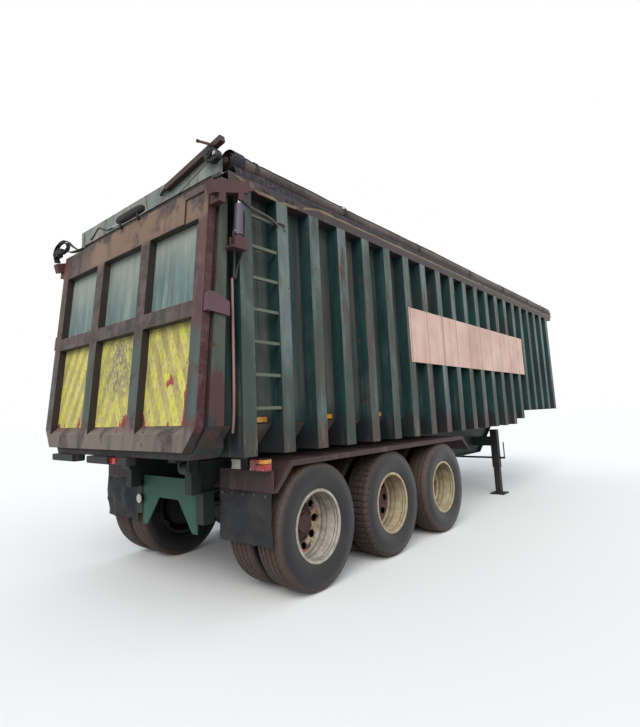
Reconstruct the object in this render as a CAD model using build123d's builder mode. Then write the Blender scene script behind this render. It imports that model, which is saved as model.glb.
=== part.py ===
from build123d import *
import math
import os

# Tipping semi-trailer. +X runs forward, +Y to its left, +Z up. The origin is on the ground, in the middle
# of the trailer's box. Lengths are millimetres; heights are above the ground.

# ---------------------------------------------------------------- overall
OVERALL_LENGTH = 9800
BODY_WIDTH = 2500
OVERALL_HALF_WIDTH = 1335
REAR = -OVERALL_LENGTH / 2
SIDES = (-1, 1)

# ---------------------------------------------------------------- tipping body
BODY_LENGTH = 9420
SHEET = 8
RIB_DEPTH = 130
RIB_WIDTH = 137
RIB_SHEET = 6
RIB_PITCH = 427.5
RIB_COUNT = 21
FIRST_RIB = REAR + 420
RIB_FOOT = 8
RIB_BOTTOM = 1150
RIB_TUCK = 0.8
FLOOR_TOP = 1200
FLOOR_RISE = 210
RAMP_START = REAR + 6580
RAMP_END = REAR + 7240
CHAMFER_TOP = 1385
WALL_TOP = 3235
RAIL_HEIGHT = 80
RAIL_WALL = 6
RAIL_REAR = REAR + 325
BODY_FRONT = REAR + BODY_LENGTH
BODY_REAR_FACE = REAR + 340
WALL_Y = BODY_WIDTH / 2 - RIB_DEPTH
CHAMFER_RUN = 170
FLOOR_HALF = WALL_Y - CHAMFER_RUN
FLOOR_BOTTOM = FLOOR_TOP - SHEET
RAIL_TOP = WALL_TOP + RAIL_HEIGHT

BAY_HALF = 160
BAY_SHEET = 8
BAY_FOOT_X = REAR + 8945
BAY_TOP = 2940
FRONT_POST = 80
FRONT_POST_DEPTH = 60
FRONT_RIB_Y = (390, 780)

BEARER_HEIGHT = 40
BEARER_WIDTH = 60
RUNNER_Y = 470
RUNNER_WIDTH = 100
RUNNER_DEPTH = 100
RUNG_RECESS = 12

LADDER_RUNG = 24
LADDER_FIRST = 1490
LADDER_PITCH = 255
LADDER_RUNGS = 7
BANNER_START = REAR + 3040
BANNER_LENGTH = 4160
BANNER_BOTTOM = 1990
BANNER_HEIGHT = 640
BANNER_THICKNESS = 4

# ---------------------------------------------------------------- tailgate
GATE_INSET = 30
GATE_HALF = BODY_WIDTH / 2 - GATE_INSET
GATE_BOTTOM = 1215
GATE_TOP = 3185
GATE_LEAN = 165
GATE_THICKNESS = 75
GATE_SKIN = 8
GATE_CORNER_WIDTH = 130
GATE_CORNER_HEIGHT = 170
GATE_POST = 120
GATE_MULLION = 130
GATE_MULLION_Y = 390
GATE_BOTTOM_BEAM = 120
GATE_MID_BOTTOM = 955
GATE_MID_BEAM = 120
GATE_TOP_BEAM = 260
GATE_CLEARANCE = 7
RECESS_INNER = 930
RECESS_OUTER = 1165
RECESS_DROP = 60
RECESS_DEPTH = 12
LEAN = math.atan2(GATE_LEAN, GATE_TOP - GATE_BOTTOM)
GATE_HEIGHT = (GATE_TOP - GATE_BOTTOM) / math.cos(LEAN)
GATE_FRAME_DEPTH = GATE_THICKNESS - GATE_SKIN

PIVOT_X = REAR + 490
PIVOT_Z = 3215
PIVOT_RADIUS = 25
ARM_WIDTH = 70
ARM_DEPTH = 92
ARM_INNER = OVERALL_HALF_WIDTH - ARM_WIDTH
ARM_REAR_X = REAR + 95
ARM_REAR_Z = 3080
ARM_FRONT_X = REAR + 440
ARM_FRONT_Z = 3185
PIVOT_BOSS = 40

# ---------------------------------------------------------------- gate rams
RAM_Y = 1300
RAM_RADIUS = 35
RAM_ROD_RADIUS = 19
RAM_EYE_X = REAR + 378
RAM_EYE_Z = 3080
RAM_BASE_X = REAR + 365
RAM_BASE_Z = 2750
RAM_PIN_RADIUS = 15
RAM_EYE_WIDTH = 40
RAM_EYE_SIDE_GAP = 2
RAM_EYE_RADIUS = 28
RAM_ROD_CLEARANCE = 0.3
RUNNING_CLEARANCE = 0.05

# ---------------------------------------------------------------- chassis
TIP_X = REAR + 500
TIP_Z = 1030
TIP_PIN_RADIUS = 30
TIP_KNUCKLE_RADIUS = 52
TIP_KNUCKLE_WIDTH = 90
TIP_EAR = 25
RAIL_Y = RUNNER_Y
RAIL_WEB = 12
RAIL_FLANGE = 120
RAIL_FLANGE_THICKNESS = 14
CHASSIS_TOP = 1085
CHASSIS_NECK_TOP = CHASSIS_TOP + FLOOR_RISE
CHASSIS_FRONT = REAR + 9300
AXLE_ZONE_BOTTOM = 815
DEEP_BOTTOM = 665
NECK_BOTTOM = 1190
KINGPIN_X = REAR + 8550
KINGPIN_COLLAR = 36.5
KINGPIN_NECK = 25.4
KINGPIN_HEAD = 35.7
KINGPIN_FLANGE = 80
KINGPIN_HOLE_GAP = 0.5
KINGPIN_STEPS = (35, 70, 85)
CROSS_TUBE = 100

AXLE_FIRST = REAR + 1275
AXLE_PITCH = 1200
AXLE_COUNT = 3
AXLE_BEAM = 130
AXLE_BEAM_END = 660
SPINDLE_RADIUS = 45
SPINDLE_END = 1030
HANGER_LENGTH = 120
HANGER_WIDTH = 100
HANGER_BOTTOM = 560
SPRING_WIDTH = 80
SPRING_LEAF = 22
SPRING_LEAVES = 4
SPRING_RISE = 45
AXLE_SEAT = 16
SPRING_STEP = 115
BRAKE_POT_RADIUS = 75
BRAKE_POT_SPAN = (230, 370)
BRAKE_POT_REACH = 110
BRAKE_ARM_SPAN = (300, 330)
BRAKE_ARM_REACH = 60
BRAKE_ARM_HALF = 30
SHIELD = 10
AXLE_ROUND = 20
TANK_X = (REAR + 5000, REAR + 5800)
TANK_Z = 520
TANK_RADIUS = 130
TANK_HALF = 420
TANK_STRAP_HALF = 25
TANK_STRAP_FOOT = 560
TANK_STRAP_REACH = 430

# ---------------------------------------------------------------- wheels
TYRE_RADIUS = 520
TYRE_WIDTH = 280
TYRE_BEAD_RADIUS = 286
TYRE_WALL = 20
TYRE_CROWN = 32
TYRE_BULGE_Z = 395
TYRE_SEAT_Z = 300
TYRE_SHOULDER = 25
TYRE_EDGE = 6
TYRE_STEP = 20
TYRE_LINING_STEP = 30
TWIN_Y = 945
TWIN_OFFSET = 162.5
RIM_FLANGE_RADIUS = 298.5
RIM_HALF_WIDTH = 115
RIM_SHEET = 10
DISC_SHEET = 12
HUB_RADIUS = 138
DRUM_RADIUS = 205
HAND_HOLES = 10
HAND_HOLE_CIRCLE = 222
HAND_HOLE_LENGTH = 70
HAND_HOLE_WIDTH = 55
RIM_BARREL = 12
DISC_FOOT_RADIUS = 172
DISC_DISH = 50
DISC_OVERLAP = 4
DRUM_SHEET = 14
DRUM_START = AXLE_BEAM_END + 18
DRUM_END = AXLE_BEAM_END + 200
DRUM_FLOOR = 15
DRUM_NECK_RADIUS = 170
HUB_SHOULDER = 60
HUB_STEPS = ((68, 112), (92, 104), (98, 84), (115, 78))
SPINDLE_GAP = 5

# ---------------------------------------------------------------- fenders and mudflaps
FENDER_INNER = RAIL_Y + RAIL_FLANGE / 2
FENDER_SHEET = 8
FENDER_LIP = 45
FENDER_START = REAR + 920
FENDER_END = REAR + 4270
FENDER_DROP_X = REAR + 712
FENDER_DROP_Z = 860
FENDER_FRONT_RISE = 40
END_PLATE = 12
END_PLATE_LAP = 6
END_PLATE_TOP = 1025
TAIL_LAMP_SPANS = ((860, 975), (1080, 1245))
TAIL_LAMP_DEPTH = 66
TAIL_LAMP_SEAT = 4
TAIL_LAMP_HEIGHT = 95
FLAP_INNER = 640
FLAP_OUTER = 1240
FLAP_BOTTOM = 430
FLAP_TOP = 900
FLAP_THICKNESS = 8

# ---------------------------------------------------------------- landing legs
LEG_X = REAR + 6550
LEG_Y = 850
LEG_OUTER = 110
LEG_INNER = 90
LEG_TOP = 1060
LEG_OUTER_BOTTOM = 430
LEG_SHAFT_Z = 590
LEG_SHAFT_RADIUS = 16
LEG_CRANK_REACH = 130
LEG_CRANK_SHEET = 12
LEG_CRANK_HEAD = 260
LEG_FOOT_HALF_LENGTH = 130
LEG_FOOT_HALF_WIDTH = 110
LEG_FOOT_SHEET = 20

# ---------------------------------------------------------------- front hoist
HOIST_X = REAR + 9620
HOIST_BASE_Z = 1170
HOIST_EYE_Z = 3320
HOIST_PIN_RADIUS = 30
HOIST_TUBE_RADII = (105, 91, 78, 65, 52)
HOIST_TUBE_WALL = 8
HOIST_TOP = 3120
HOIST_STEP = 18
HOIST_PLUG = 50
HOIST_GLAND_CLEARANCE = 0.3
HOIST_FOOT = 1215
HOIST_GLAND = 60
HOIST_FLOOR_GAP = 5
HOIST_SHOE_HALF = 75
HOIST_SHOE_Y = 80
HOIST_SHOE_DROP = 55
HOIST_EYE_RADIUS = 45
HOIST_EYE_HALF = 25
HOIST_EYE_NECK = 35
HOIST_EAR_SPAN = (27, 52)
HOIST_EAR_HALF = 50
HOIST_EAR_RISE = 40
HOIST_EAR_FOOT = 160
HOIST_PAD_HALF = 160
HOIST_PAD_DROP = 200
HOIST_PAD_RISE = 60
HOIST_PAD_SHEET = 20
CRADLE_Y = 125
CRADLE_PLATE = 20

# ---------------------------------------------------------------- canvas roll
ROLL_Y = 1160
ROLL_RADIUS = 85
ROLL_Z = RAIL_TOP + 50 + ROLL_RADIUS
ROLL_START = REAR + 388
ROLL_END = REAR + 9560
ROLL_TUBE_RADIUS = 25
TUBE_PROUD = 20
BAR_SIZE = 50

os.makedirs("parts", exist_ok=True)
written = []


def save(builder, label):
    """Labels a finished sub-part and writes it as one STEP file."""
    builder.part.label = label
    export_step(builder.part, f"parts/{label}.step")
    written.append(label)


def block(x, y, z, mode=Mode.ADD):
    """A rectangular block between the two ends given on each axis."""
    centre = [(ends[0] + ends[1]) / 2 for ends in (x, y, z)]
    size = [abs(ends[1] - ends[0]) for ends in (x, y, z)]
    with Locations(tuple(centre)):
        Box(*size, mode=mode)


def both(y_low, y_high, side):
    """The Y interval of something between y_low and y_high out from the middle, on one side."""
    return (side * y_low, side * y_high)


def side_plate(profile, y_ends):
    """A plate with an outline in X and Z, between two Y positions."""
    y_low, y_high = sorted(y_ends)
    with BuildPart() as plate:
        with BuildSketch(Plane.XZ.offset(-y_low)):
            with BuildLine():
                Polyline(*profile, close=True)
            make_face()
        extrude(amount=-(y_high - y_low))
    return plate.part


def cross_plate(profile, x_ends):
    """A plate with an outline in Y and Z, between two X positions."""
    x_low, x_high = sorted(x_ends)
    with BuildPart() as plate:
        with BuildSketch(Plane.YZ.offset(x_low)):
            with BuildLine():
                Polyline(*profile, close=True)
            make_face()
        extrude(amount=x_high - x_low)
    return plate.part


def cross_rod(x, z, radius, y_ends):
    """A round rod along Y."""
    y_low, y_high = sorted(y_ends)
    with BuildPart() as rod:
        with BuildSketch(Plane.XZ.offset(-y_low)):
            with Locations((x, z)):
                Circle(radius)
        extrude(amount=-(y_high - y_low))
    return rod.part


def tube(x, y, radius, z_ends):
    """A round rod that stands upright."""
    with BuildPart() as rod:
        with BuildSketch(Plane.XY.offset(z_ends[0])):
            with Locations((x, y)):
                Circle(radius)
        extrude(amount=z_ends[1] - z_ends[0])
    return rod.part


def gate_x(height, depth=0):
    """The X of the leaning tailgate at a height, some depth ahead of its rear face."""
    return REAR + (height - GATE_BOTTOM) * math.tan(LEAN) + depth / math.cos(LEAN)


# ================================================================ tipping body
def trough_section(rise, wall_top=None):
    """Floor and slanted sides as a bent sheet; with wall_top, the solid outer shape up to that height."""
    slope = (WALL_Y - SHEET - FLOOR_HALF) / (CHAMFER_TOP - FLOOR_TOP)
    outer_foot = WALL_Y - (CHAMFER_TOP - FLOOR_BOTTOM) * slope
    outer = [(-WALL_Y, CHAMFER_TOP + rise), (-outer_foot, FLOOR_BOTTOM + rise)]
    outer += [(outer_foot, FLOOR_BOTTOM + rise), (WALL_Y, CHAMFER_TOP + rise)]
    if wall_top:
        return outer + [(WALL_Y, wall_top), (-WALL_Y, wall_top)]
    inner = [(WALL_Y - SHEET, CHAMFER_TOP + rise), (FLOOR_HALF, FLOOR_TOP + rise)]
    inner += [(-FLOOR_HALF, FLOOR_TOP + rise), (-WALL_Y + SHEET, CHAMFER_TOP + rise)]
    return outer + inner


def trough(wall_top=None, front=BODY_FRONT - SHEET):
    """The floor along the whole body, flat, up the ramp and flat again."""
    low = trough_section(0, wall_top)
    high = trough_section(FLOOR_RISE, wall_top)
    with BuildPart() as ramp:
        with BuildSketch(Plane.YZ.offset(RAMP_START)):
            with BuildLine():
                Polyline(*low, close=True)
            make_face()
        with BuildSketch(Plane.YZ.offset(RAMP_END)):
            with BuildLine():
                Polyline(*high, close=True)
            make_face()
        loft(ruled=True)
    rear_part = cross_plate(low, (BODY_REAR_FACE, RAMP_START))
    front_part = cross_plate(high, (RAMP_END, front))
    with BuildPart() as whole:
        add(rear_part)
        add(ramp.part)
        add(front_part)
    return whole.part


ENVELOPE = trough(RAIL_TOP, BODY_FRONT)

FRONT_SHEET_X = BODY_FRONT - SHEET
FRONT_FLOOR_BOTTOM = FLOOR_BOTTOM + FLOOR_RISE
BAY_OUTER = BAY_HALF + BAY_SHEET
BAY_HEAD = BAY_TOP + BAY_SHEET * (BAY_TOP - FRONT_FLOOR_BOTTOM) / (FRONT_SHEET_X - BAY_FOOT_X)

with BuildPart() as floor:
    add(trough())
    block((BAY_FOOT_X - BAY_SHEET, BODY_FRONT), (-BAY_OUTER, BAY_OUTER),
          (FRONT_FLOOR_BOTTOM - SHEET, FRONT_FLOOR_BOTTOM + 2 * SHEET), mode=Mode.SUBTRACT)
save(floor, "body_floor")

wall_outline = [(BODY_REAR_FACE, CHAMFER_TOP), (RAMP_START, CHAMFER_TOP)]
wall_outline += [(RAMP_END, CHAMFER_TOP + FLOOR_RISE), (FRONT_SHEET_X, CHAMFER_TOP + FLOOR_RISE)]
wall_outline += [(FRONT_SHEET_X, WALL_TOP), (BODY_REAR_FACE, WALL_TOP)]
for side, name in zip(SIDES, ("side_wall_right", "side_wall_left")):
    with BuildPart() as wall:
        add(side_plate(wall_outline, both(WALL_Y - SHEET, WALL_Y, side)))
    save(wall, name)

front_outline = trough_section(FLOOR_RISE, WALL_TOP)
# A wedge-shaped bay lets the hoist lean back into the body as it tips.
bay_back = [(BAY_FOOT_X - BAY_SHEET, FRONT_FLOOR_BOTTOM), (BAY_FOOT_X, FRONT_FLOOR_BOTTOM)]
bay_back += [(FRONT_SHEET_X, BAY_TOP), (FRONT_SHEET_X, BAY_HEAD)]
bay_side = [(BAY_FOOT_X - BAY_SHEET, FRONT_FLOOR_BOTTOM), (FRONT_SHEET_X, FRONT_FLOOR_BOTTOM)]
bay_side += [(FRONT_SHEET_X, BAY_HEAD)]
with BuildPart() as front_wall:
    add(cross_plate(front_outline, (FRONT_SHEET_X, BODY_FRONT)))
    block((FRONT_SHEET_X, BODY_FRONT), (-BAY_HALF, BAY_HALF), (FRONT_FLOOR_BOTTOM, BAY_TOP), mode=Mode.SUBTRACT)
    add(side_plate(bay_back, (-BAY_OUTER, BAY_OUTER)))
    for side in SIDES:
        add(side_plate(bay_side, both(BAY_HALF, BAY_OUTER, side)))
    for side in SIDES:
        for y in FRONT_RIB_Y:
            block((BODY_FRONT, BODY_FRONT + FRONT_POST_DEPTH), both(y, y + FRONT_POST, side),
                  (FLOOR_TOP + FLOOR_RISE, WALL_TOP))
save(front_wall, "front_wall")

for side, name in zip(SIDES, ("ribs_right", "ribs_left")):
    with BuildPart() as ribs:
        for index in range(RIB_COUNT):
            start = FIRST_RIB + index * RIB_PITCH
            end = start + RIB_WIDTH
            rise = FLOOR_RISE * min(1, max(0, (start - RAMP_START) / (RAMP_END - RAMP_START)))
            bottom = RIB_BOTTOM + rise
            outer = BODY_WIDTH / 2
            inner = WALL_Y - (CHAMFER_TOP - FLOOR_BOTTOM) * RIB_TUCK
            block((start, end), both(inner, outer, side), (bottom, WALL_TOP))
            block((start + RIB_SHEET, end - RIB_SHEET), both(inner, outer - RIB_SHEET, side),
                  (bottom + RIB_FOOT, WALL_TOP), mode=Mode.SUBTRACT)
        add(ENVELOPE, mode=Mode.SUBTRACT)
    save(ribs, name)

with BuildPart() as top_rails:
    for side in SIDES:
        block((RAIL_REAR, BODY_FRONT), both(WALL_Y - SHEET, BODY_WIDTH / 2, side), (WALL_TOP, RAIL_TOP))
        block((RAIL_REAR, BODY_FRONT),
              both(WALL_Y - SHEET + RAIL_WALL, BODY_WIDTH / 2 - RAIL_WALL, side),
              (WALL_TOP + RAIL_WALL, RAIL_TOP - RAIL_WALL), mode=Mode.SUBTRACT)
save(top_rails, "top_rails")

# Rear frame: two leaning posts, the header over the gate and the sill under it.
POST_INNER = 1060
POST_TOP = WALL_TOP
POST_FRONT_FOOT = REAR + 225
POST_FRONT_HEAD = REAR + 320
HEADER_REAR = RAIL_REAR
HEADER_FRONT = HEADER_REAR + 45
HEADER_BOTTOM = 3350
HEADER_TOP = 3510
HEADER_HALF = WALL_Y - SHEET
HEADER_LEFT = 1215
HEADER_POST = 85
HEADER_POST_END = HEADER_HALF + 18
HEADER_WEB = 12
HEADER_WEB_BOTTOM = 3150
SILL_BOTTOM = 1155
CORNER_CUT = 190
GUSSET_RISE = 60
GUSSET_DEPTH = 60
seal = GATE_THICKNESS + GATE_CLEARANCE
outer_post = [(gate_x(SILL_BOTTOM, seal), SILL_BOTTOM), (POST_FRONT_FOOT, SILL_BOTTOM)]
outer_post += [(POST_FRONT_HEAD, POST_TOP), (gate_x(POST_TOP, seal), POST_TOP)]
inner_post = [(gate_x(SILL_BOTTOM, seal), SILL_BOTTOM), (BODY_REAR_FACE, SILL_BOTTOM)]
inner_post += [(BODY_REAR_FACE, POST_TOP), (gate_x(POST_TOP, seal), POST_TOP)]
sill = [(gate_x(SILL_BOTTOM, seal), SILL_BOTTOM), (BODY_REAR_FACE, SILL_BOTTOM)]
sill += [(BODY_REAR_FACE, FLOOR_TOP), (gate_x(FLOOR_TOP, seal), FLOOR_TOP)]
corner_cut = [(BODY_WIDTH / 2 + 1, CHAMFER_TOP), (BODY_WIDTH / 2 + 1, SILL_BOTTOM - 1)]
corner_cut += [(BODY_WIDTH / 2 - CORNER_CUT, SILL_BOTTOM - 1), (BODY_WIDTH / 2, CHAMFER_TOP)]
corner_fill = [(POST_INNER, FLOOR_TOP), (POST_INNER, CHAMFER_TOP + GUSSET_RISE), (FLOOR_HALF, FLOOR_TOP)]
with BuildPart() as rear_frame:
    for side in SIDES:
        add(side_plate(outer_post, both(WALL_Y, BODY_WIDTH / 2, side)))
        add(side_plate(inner_post, both(POST_INNER, WALL_Y, side)))
        corner = [(side * y, z) for y, z in corner_cut]
        add(cross_plate(corner, (REAR, FIRST_RIB)), mode=Mode.SUBTRACT)
    add(side_plate(sill, (-POST_INNER, POST_INNER)))
    for side in SIDES:
        gusset = [(side * y, z) for y, z in corner_fill]
        add(cross_plate(gusset, (BODY_REAR_FACE - GUSSET_DEPTH, BODY_REAR_FACE)))
    block((HEADER_REAR, HEADER_FRONT), (-HEADER_HALF, HEADER_LEFT), (HEADER_BOTTOM, HEADER_TOP))
    block((HEADER_REAR + RAIL_WALL, HEADER_FRONT - RAIL_WALL), (-HEADER_HALF, HEADER_LEFT),
          (HEADER_BOTTOM + RAIL_WALL, HEADER_TOP - RAIL_WALL), mode=Mode.SUBTRACT)
    block((BODY_REAR_FACE, BODY_REAR_FACE + HEADER_WEB), (-HEADER_HALF, HEADER_HALF),
          (HEADER_WEB_BOTTOM, HEADER_BOTTOM + RAIL_WALL))
    for low, high in ((-HEADER_POST_END, HEADER_POST - HEADER_POST_END), (HEADER_LEFT - HEADER_POST, HEADER_LEFT)):
        block((HEADER_REAR, HEADER_FRONT), (low, high), (RAIL_TOP, HEADER_TOP))
save(rear_frame, "rear_frame")

# Sub-frame: two long runners, cross bearers and the ears of the tipping hinge.
runner = [(BODY_REAR_FACE, FLOOR_BOTTOM - RUNNER_DEPTH), (RAMP_START, FLOOR_BOTTOM - RUNNER_DEPTH)]
runner += [(RAMP_END, FLOOR_BOTTOM + FLOOR_RISE - RUNNER_DEPTH)]
runner += [(BODY_FRONT, FLOOR_BOTTOM + FLOOR_RISE - RUNNER_DEPTH), (BODY_FRONT, FLOOR_BOTTOM + FLOOR_RISE)]
runner += [(RAMP_END, FLOOR_BOTTOM + FLOOR_RISE), (RAMP_START, FLOOR_BOTTOM), (BODY_REAR_FACE, FLOOR_BOTTOM)]
EAR_INNER = RUNNER_Y - RUNNER_WIDTH / 2 - TIP_EAR
EAR_OUTER = RUNNER_Y + RUNNER_WIDTH / 2
EAR_RADIUS = 50
with BuildPart() as sub_frame:
    for side in SIDES:
        add(side_plate(runner, both(RUNNER_Y - RUNNER_WIDTH / 2, RUNNER_Y + RUNNER_WIDTH / 2, side)))
        for inner in (EAR_INNER, EAR_OUTER):
            block((TIP_X - EAR_RADIUS, TIP_X + EAR_RADIUS), both(inner, inner + TIP_EAR, side),
                  (TIP_Z, FLOOR_BOTTOM - BEARER_HEIGHT))
            add(cross_rod(TIP_X, TIP_Z, EAR_RADIUS, both(inner, inner + TIP_EAR, side)))
    for index in range(RIB_COUNT):
        start = FIRST_RIB + index * RIB_PITCH + (RIB_WIDTH - BEARER_WIDTH) / 2
        if RAMP_START - BEARER_WIDTH < start < RAMP_END:
            continue
        top = FLOOR_BOTTOM if start < RAMP_START else FRONT_FLOOR_BOTTOM
        block((start, start + BEARER_WIDTH), (-FLOOR_HALF, FLOOR_HALF), (top - BEARER_HEIGHT, top))
    block((BAY_FOOT_X - BAY_SHEET, BODY_FRONT), (-BAY_OUTER, BAY_OUTER),
          (FRONT_FLOOR_BOTTOM - BEARER_HEIGHT, FRONT_FLOOR_BOTTOM), mode=Mode.SUBTRACT)
    for side in SIDES:
        add(cross_rod(TIP_X, TIP_Z, TIP_PIN_RADIUS + RUNNING_CLEARANCE,
                      both(EAR_INNER - 1, EAR_OUTER + TIP_EAR + 1, side)),
            mode=Mode.SUBTRACT)
save(sub_frame, "sub_frame")

with BuildPart() as ladder:
    first_edge = FIRST_RIB + RIB_WIDTH
    for index in range(LADDER_RUNGS):
        z = LADDER_FIRST + index * LADDER_PITCH
        rung_y = RUNG_RECESS - BODY_WIDTH / 2
        block((first_edge, FIRST_RIB + RIB_PITCH), (rung_y, rung_y + LADDER_RUNG), (z, z + LADDER_RUNG))
save(ladder, "ladder_rungs")

with BuildPart() as banners:
    for side in SIDES:
        block((BANNER_START, BANNER_START + BANNER_LENGTH),
              both(BODY_WIDTH / 2, BODY_WIDTH / 2 + BANNER_THICKNESS, side),
              (BANNER_BOTTOM, BANNER_BOTTOM + BANNER_HEIGHT))
save(banners, "banner_panels")

# Lamp housings under the sill, on the left and near the middle, and one square red lamp.
HOUSING_X = (REAR + 10, REAR + 130)
HOUSING_Z = (SILL_BOTTOM - 62, SILL_BOTTOM)
HOUSING_SPANS = ((600, 1030), (-40, 320))
HOUSING_ROUND = 18
MIDDLE_LAMP_X = (REAR + 30, REAR + 110)
MIDDLE_LAMP_Y = (-310, -160)
with BuildPart() as housings:
    for y_ends in HOUSING_SPANS:
        block(HOUSING_X, y_ends, HOUSING_Z)
    fillet(housings.edges().filter_by(Axis.Y).group_by(Axis.Z)[0], radius=HOUSING_ROUND)
    block(MIDDLE_LAMP_X, MIDDLE_LAMP_Y, HOUSING_Z)
save(housings, "sill_lamp_housings")

# Canvas roll on the right top rail, its supports, and the bar that winds it.
with BuildPart() as roll:
    with BuildSketch(Plane.YZ.offset(ROLL_START)):
        with Locations((-ROLL_Y, ROLL_Z)):
            Circle(ROLL_RADIUS)
    extrude(amount=ROLL_END - ROLL_START)
save(roll, "canvas_roll")

with BuildPart() as winding_tube:
    for start, end in ((ROLL_START - TUBE_PROUD, ROLL_START), (ROLL_END, -REAR)):
        with BuildSketch(Plane.YZ.offset(start)):
            with Locations((-ROLL_Y, ROLL_Z)):
                Circle(ROLL_TUBE_RADIUS)
        extrude(amount=end - start)
save(winding_tube, "winding_tube_ends")

SUPPORT_X = (REAR + 900, REAR + 3480, REAR + 6560, REAR + 9000)
SUPPORT_HALF_LENGTH = 30
SUPPORT_HALF_WIDTH = 60
with BuildPart() as supports:
    for x in SUPPORT_X:
        block((x - SUPPORT_HALF_LENGTH, x + SUPPORT_HALF_LENGTH),
              (-ROLL_Y - SUPPORT_HALF_WIDTH, -ROLL_Y + SUPPORT_HALF_WIDTH), (RAIL_TOP, ROLL_Z))
    add(roll.part, mode=Mode.SUBTRACT)
save(supports, "roll_supports")

BAR_X = HEADER_REAR - BAR_SIZE / 2
BAR_TOP = (BAR_X, -1215, 3580)
BAR_FOOT = (BAR_X, -470, 3436)
bar_direction = Vector(*BAR_FOOT) - Vector(*BAR_TOP)
with BuildPart() as crank_bar:
    with BuildSketch(Plane(origin=BAR_TOP, z_dir=bar_direction.normalized())):
        Rectangle(BAR_SIZE, BAR_SIZE)
    extrude(amount=bar_direction.length)
save(crank_bar, "crank_bar")

# Outer bracket of each gate ram and the plate that laps over each corner post half way up.
BRACKET_PLATE = 12
EAR_HALF = 30
EAR_DROP = 20
EAR_RISE = 60
LUG_BOTTOM = 2990
LUG_TOP = 3130
PIVOT_BUSH = 33
ARM_GAP = 5
with BuildPart() as gate_mounts:
    for side in SIDES:
        add(cross_rod(PIVOT_X, PIVOT_Z, PIVOT_BUSH, both(BODY_WIDTH / 2, ARM_INNER - ARM_GAP, side)))
        add(cross_rod(PIVOT_X, PIVOT_Z, PIVOT_RADIUS, both(BODY_WIDTH / 2, OVERALL_HALF_WIDTH, side)))
save(gate_mounts, "gate_pivots")

bracket_gap = RAM_EYE_WIDTH / 2 + RAM_EYE_SIDE_GAP
CHEEK_HALF = 60
CHEEK_RISE = 18
SHELF = 15
SHELF_REACH = 90
shelf_top = RAM_BASE_Z - CHEEK_HALF
cheek_top = RAM_BASE_Z + CHEEK_RISE
cheek = [(RAM_BASE_X - CHEEK_HALF, shelf_top), (RAM_BASE_X + CHEEK_HALF, shelf_top)]
cheek += [(RAM_BASE_X + CHEEK_HALF, cheek_top), (RAM_BASE_X - CHEEK_HALF, cheek_top)]
with BuildPart() as ram_brackets:
    for side in SIDES:
        for y in (RAM_Y - bracket_gap - BRACKET_PLATE, RAM_Y + bracket_gap):
            add(side_plate(cheek, both(y, y + BRACKET_PLATE, side)))
        block((RAM_BASE_X - SHELF_REACH, RAM_BASE_X + CHEEK_HALF),
              both(BODY_WIDTH / 2, RAM_Y + bracket_gap + BRACKET_PLATE, side), (shelf_top - SHELF, shelf_top))
        block((FIRST_RIB, RAM_BASE_X + CHEEK_HALF), both(BODY_WIDTH / 2, RAM_Y - bracket_gap, side),
              (shelf_top - SHELF, cheek_top))
        add(cross_rod(RAM_BASE_X, RAM_BASE_Z, RAM_PIN_RADIUS, both(RAM_Y - bracket_gap, RAM_Y + bracket_gap, side)))
save(ram_brackets, "ram_brackets")

# ================================================================ tailgate
GATE_PLANE = Plane(origin=(REAR, 0, GATE_BOTTOM), x_dir=(0, 1, 0),
                   z_dir=(math.cos(LEAN), 0, -math.sin(LEAN)))


def gate_outline(inset=0):
    """The gate's outline across and up its own plane, with its cut lower corners."""
    half = GATE_HALF - inset
    foot = half - GATE_CORNER_WIDTH
    corners = [(-foot, inset), (foot, inset), (half, GATE_CORNER_HEIGHT)]
    return corners + [(half, GATE_HEIGHT - inset), (-half, GATE_HEIGHT - inset), (-half, GATE_CORNER_HEIGHT)]


column_edges = [(-GATE_HALF + GATE_POST, -GATE_MULLION_Y - GATE_MULLION / 2)]
column_edges += [(-GATE_MULLION_Y + GATE_MULLION / 2, GATE_MULLION_Y - GATE_MULLION / 2)]
column_edges += [(GATE_MULLION_Y + GATE_MULLION / 2, GATE_HALF - GATE_POST)]
row_edges = [(GATE_BOTTOM_BEAM, GATE_MID_BOTTOM)]
row_edges += [(GATE_MID_BOTTOM + GATE_MID_BEAM, GATE_HEIGHT - GATE_TOP_BEAM)]
with BuildPart() as gate_frame:
    with BuildSketch(GATE_PLANE):
        with BuildLine():
            Polyline(*gate_outline(), close=True)
        make_face()
        for low_y, high_y in column_edges:
            for low_v, high_v in row_edges:
                with Locations(((low_y + high_y) / 2, (low_v + high_v) / 2)):
                    Rectangle(high_y - low_y, high_v - low_v, mode=Mode.SUBTRACT)
    extrude(amount=GATE_FRAME_DEPTH)
    ledge_width = GATE_HALF - GATE_POST
    ledge_plane = Plane(origin=(REAR, ledge_width, GATE_BOTTOM),
                        x_dir=(math.cos(LEAN), 0, -math.sin(LEAN)), z_dir=(0, -1, 0))
    with BuildSketch(ledge_plane):
        with BuildLine():
            Polyline((0, GATE_BOTTOM_BEAM), (GATE_FRAME_DEPTH, GATE_BOTTOM_BEAM),
                     (GATE_FRAME_DEPTH, GATE_BOTTOM_BEAM + GATE_FRAME_DEPTH), close=True)
        make_face()
    extrude(amount=2 * ledge_width)
    with BuildSketch(GATE_PLANE):
        with Locations(((RECESS_INNER + RECESS_OUTER) / -2, GATE_HEIGHT - GATE_TOP_BEAM / 2 - RECESS_DROP)):
            Rectangle(RECESS_OUTER - RECESS_INNER, GATE_TOP_BEAM)
    extrude(amount=RECESS_DEPTH, mode=Mode.SUBTRACT)
save(gate_frame, "gate_frame")

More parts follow.
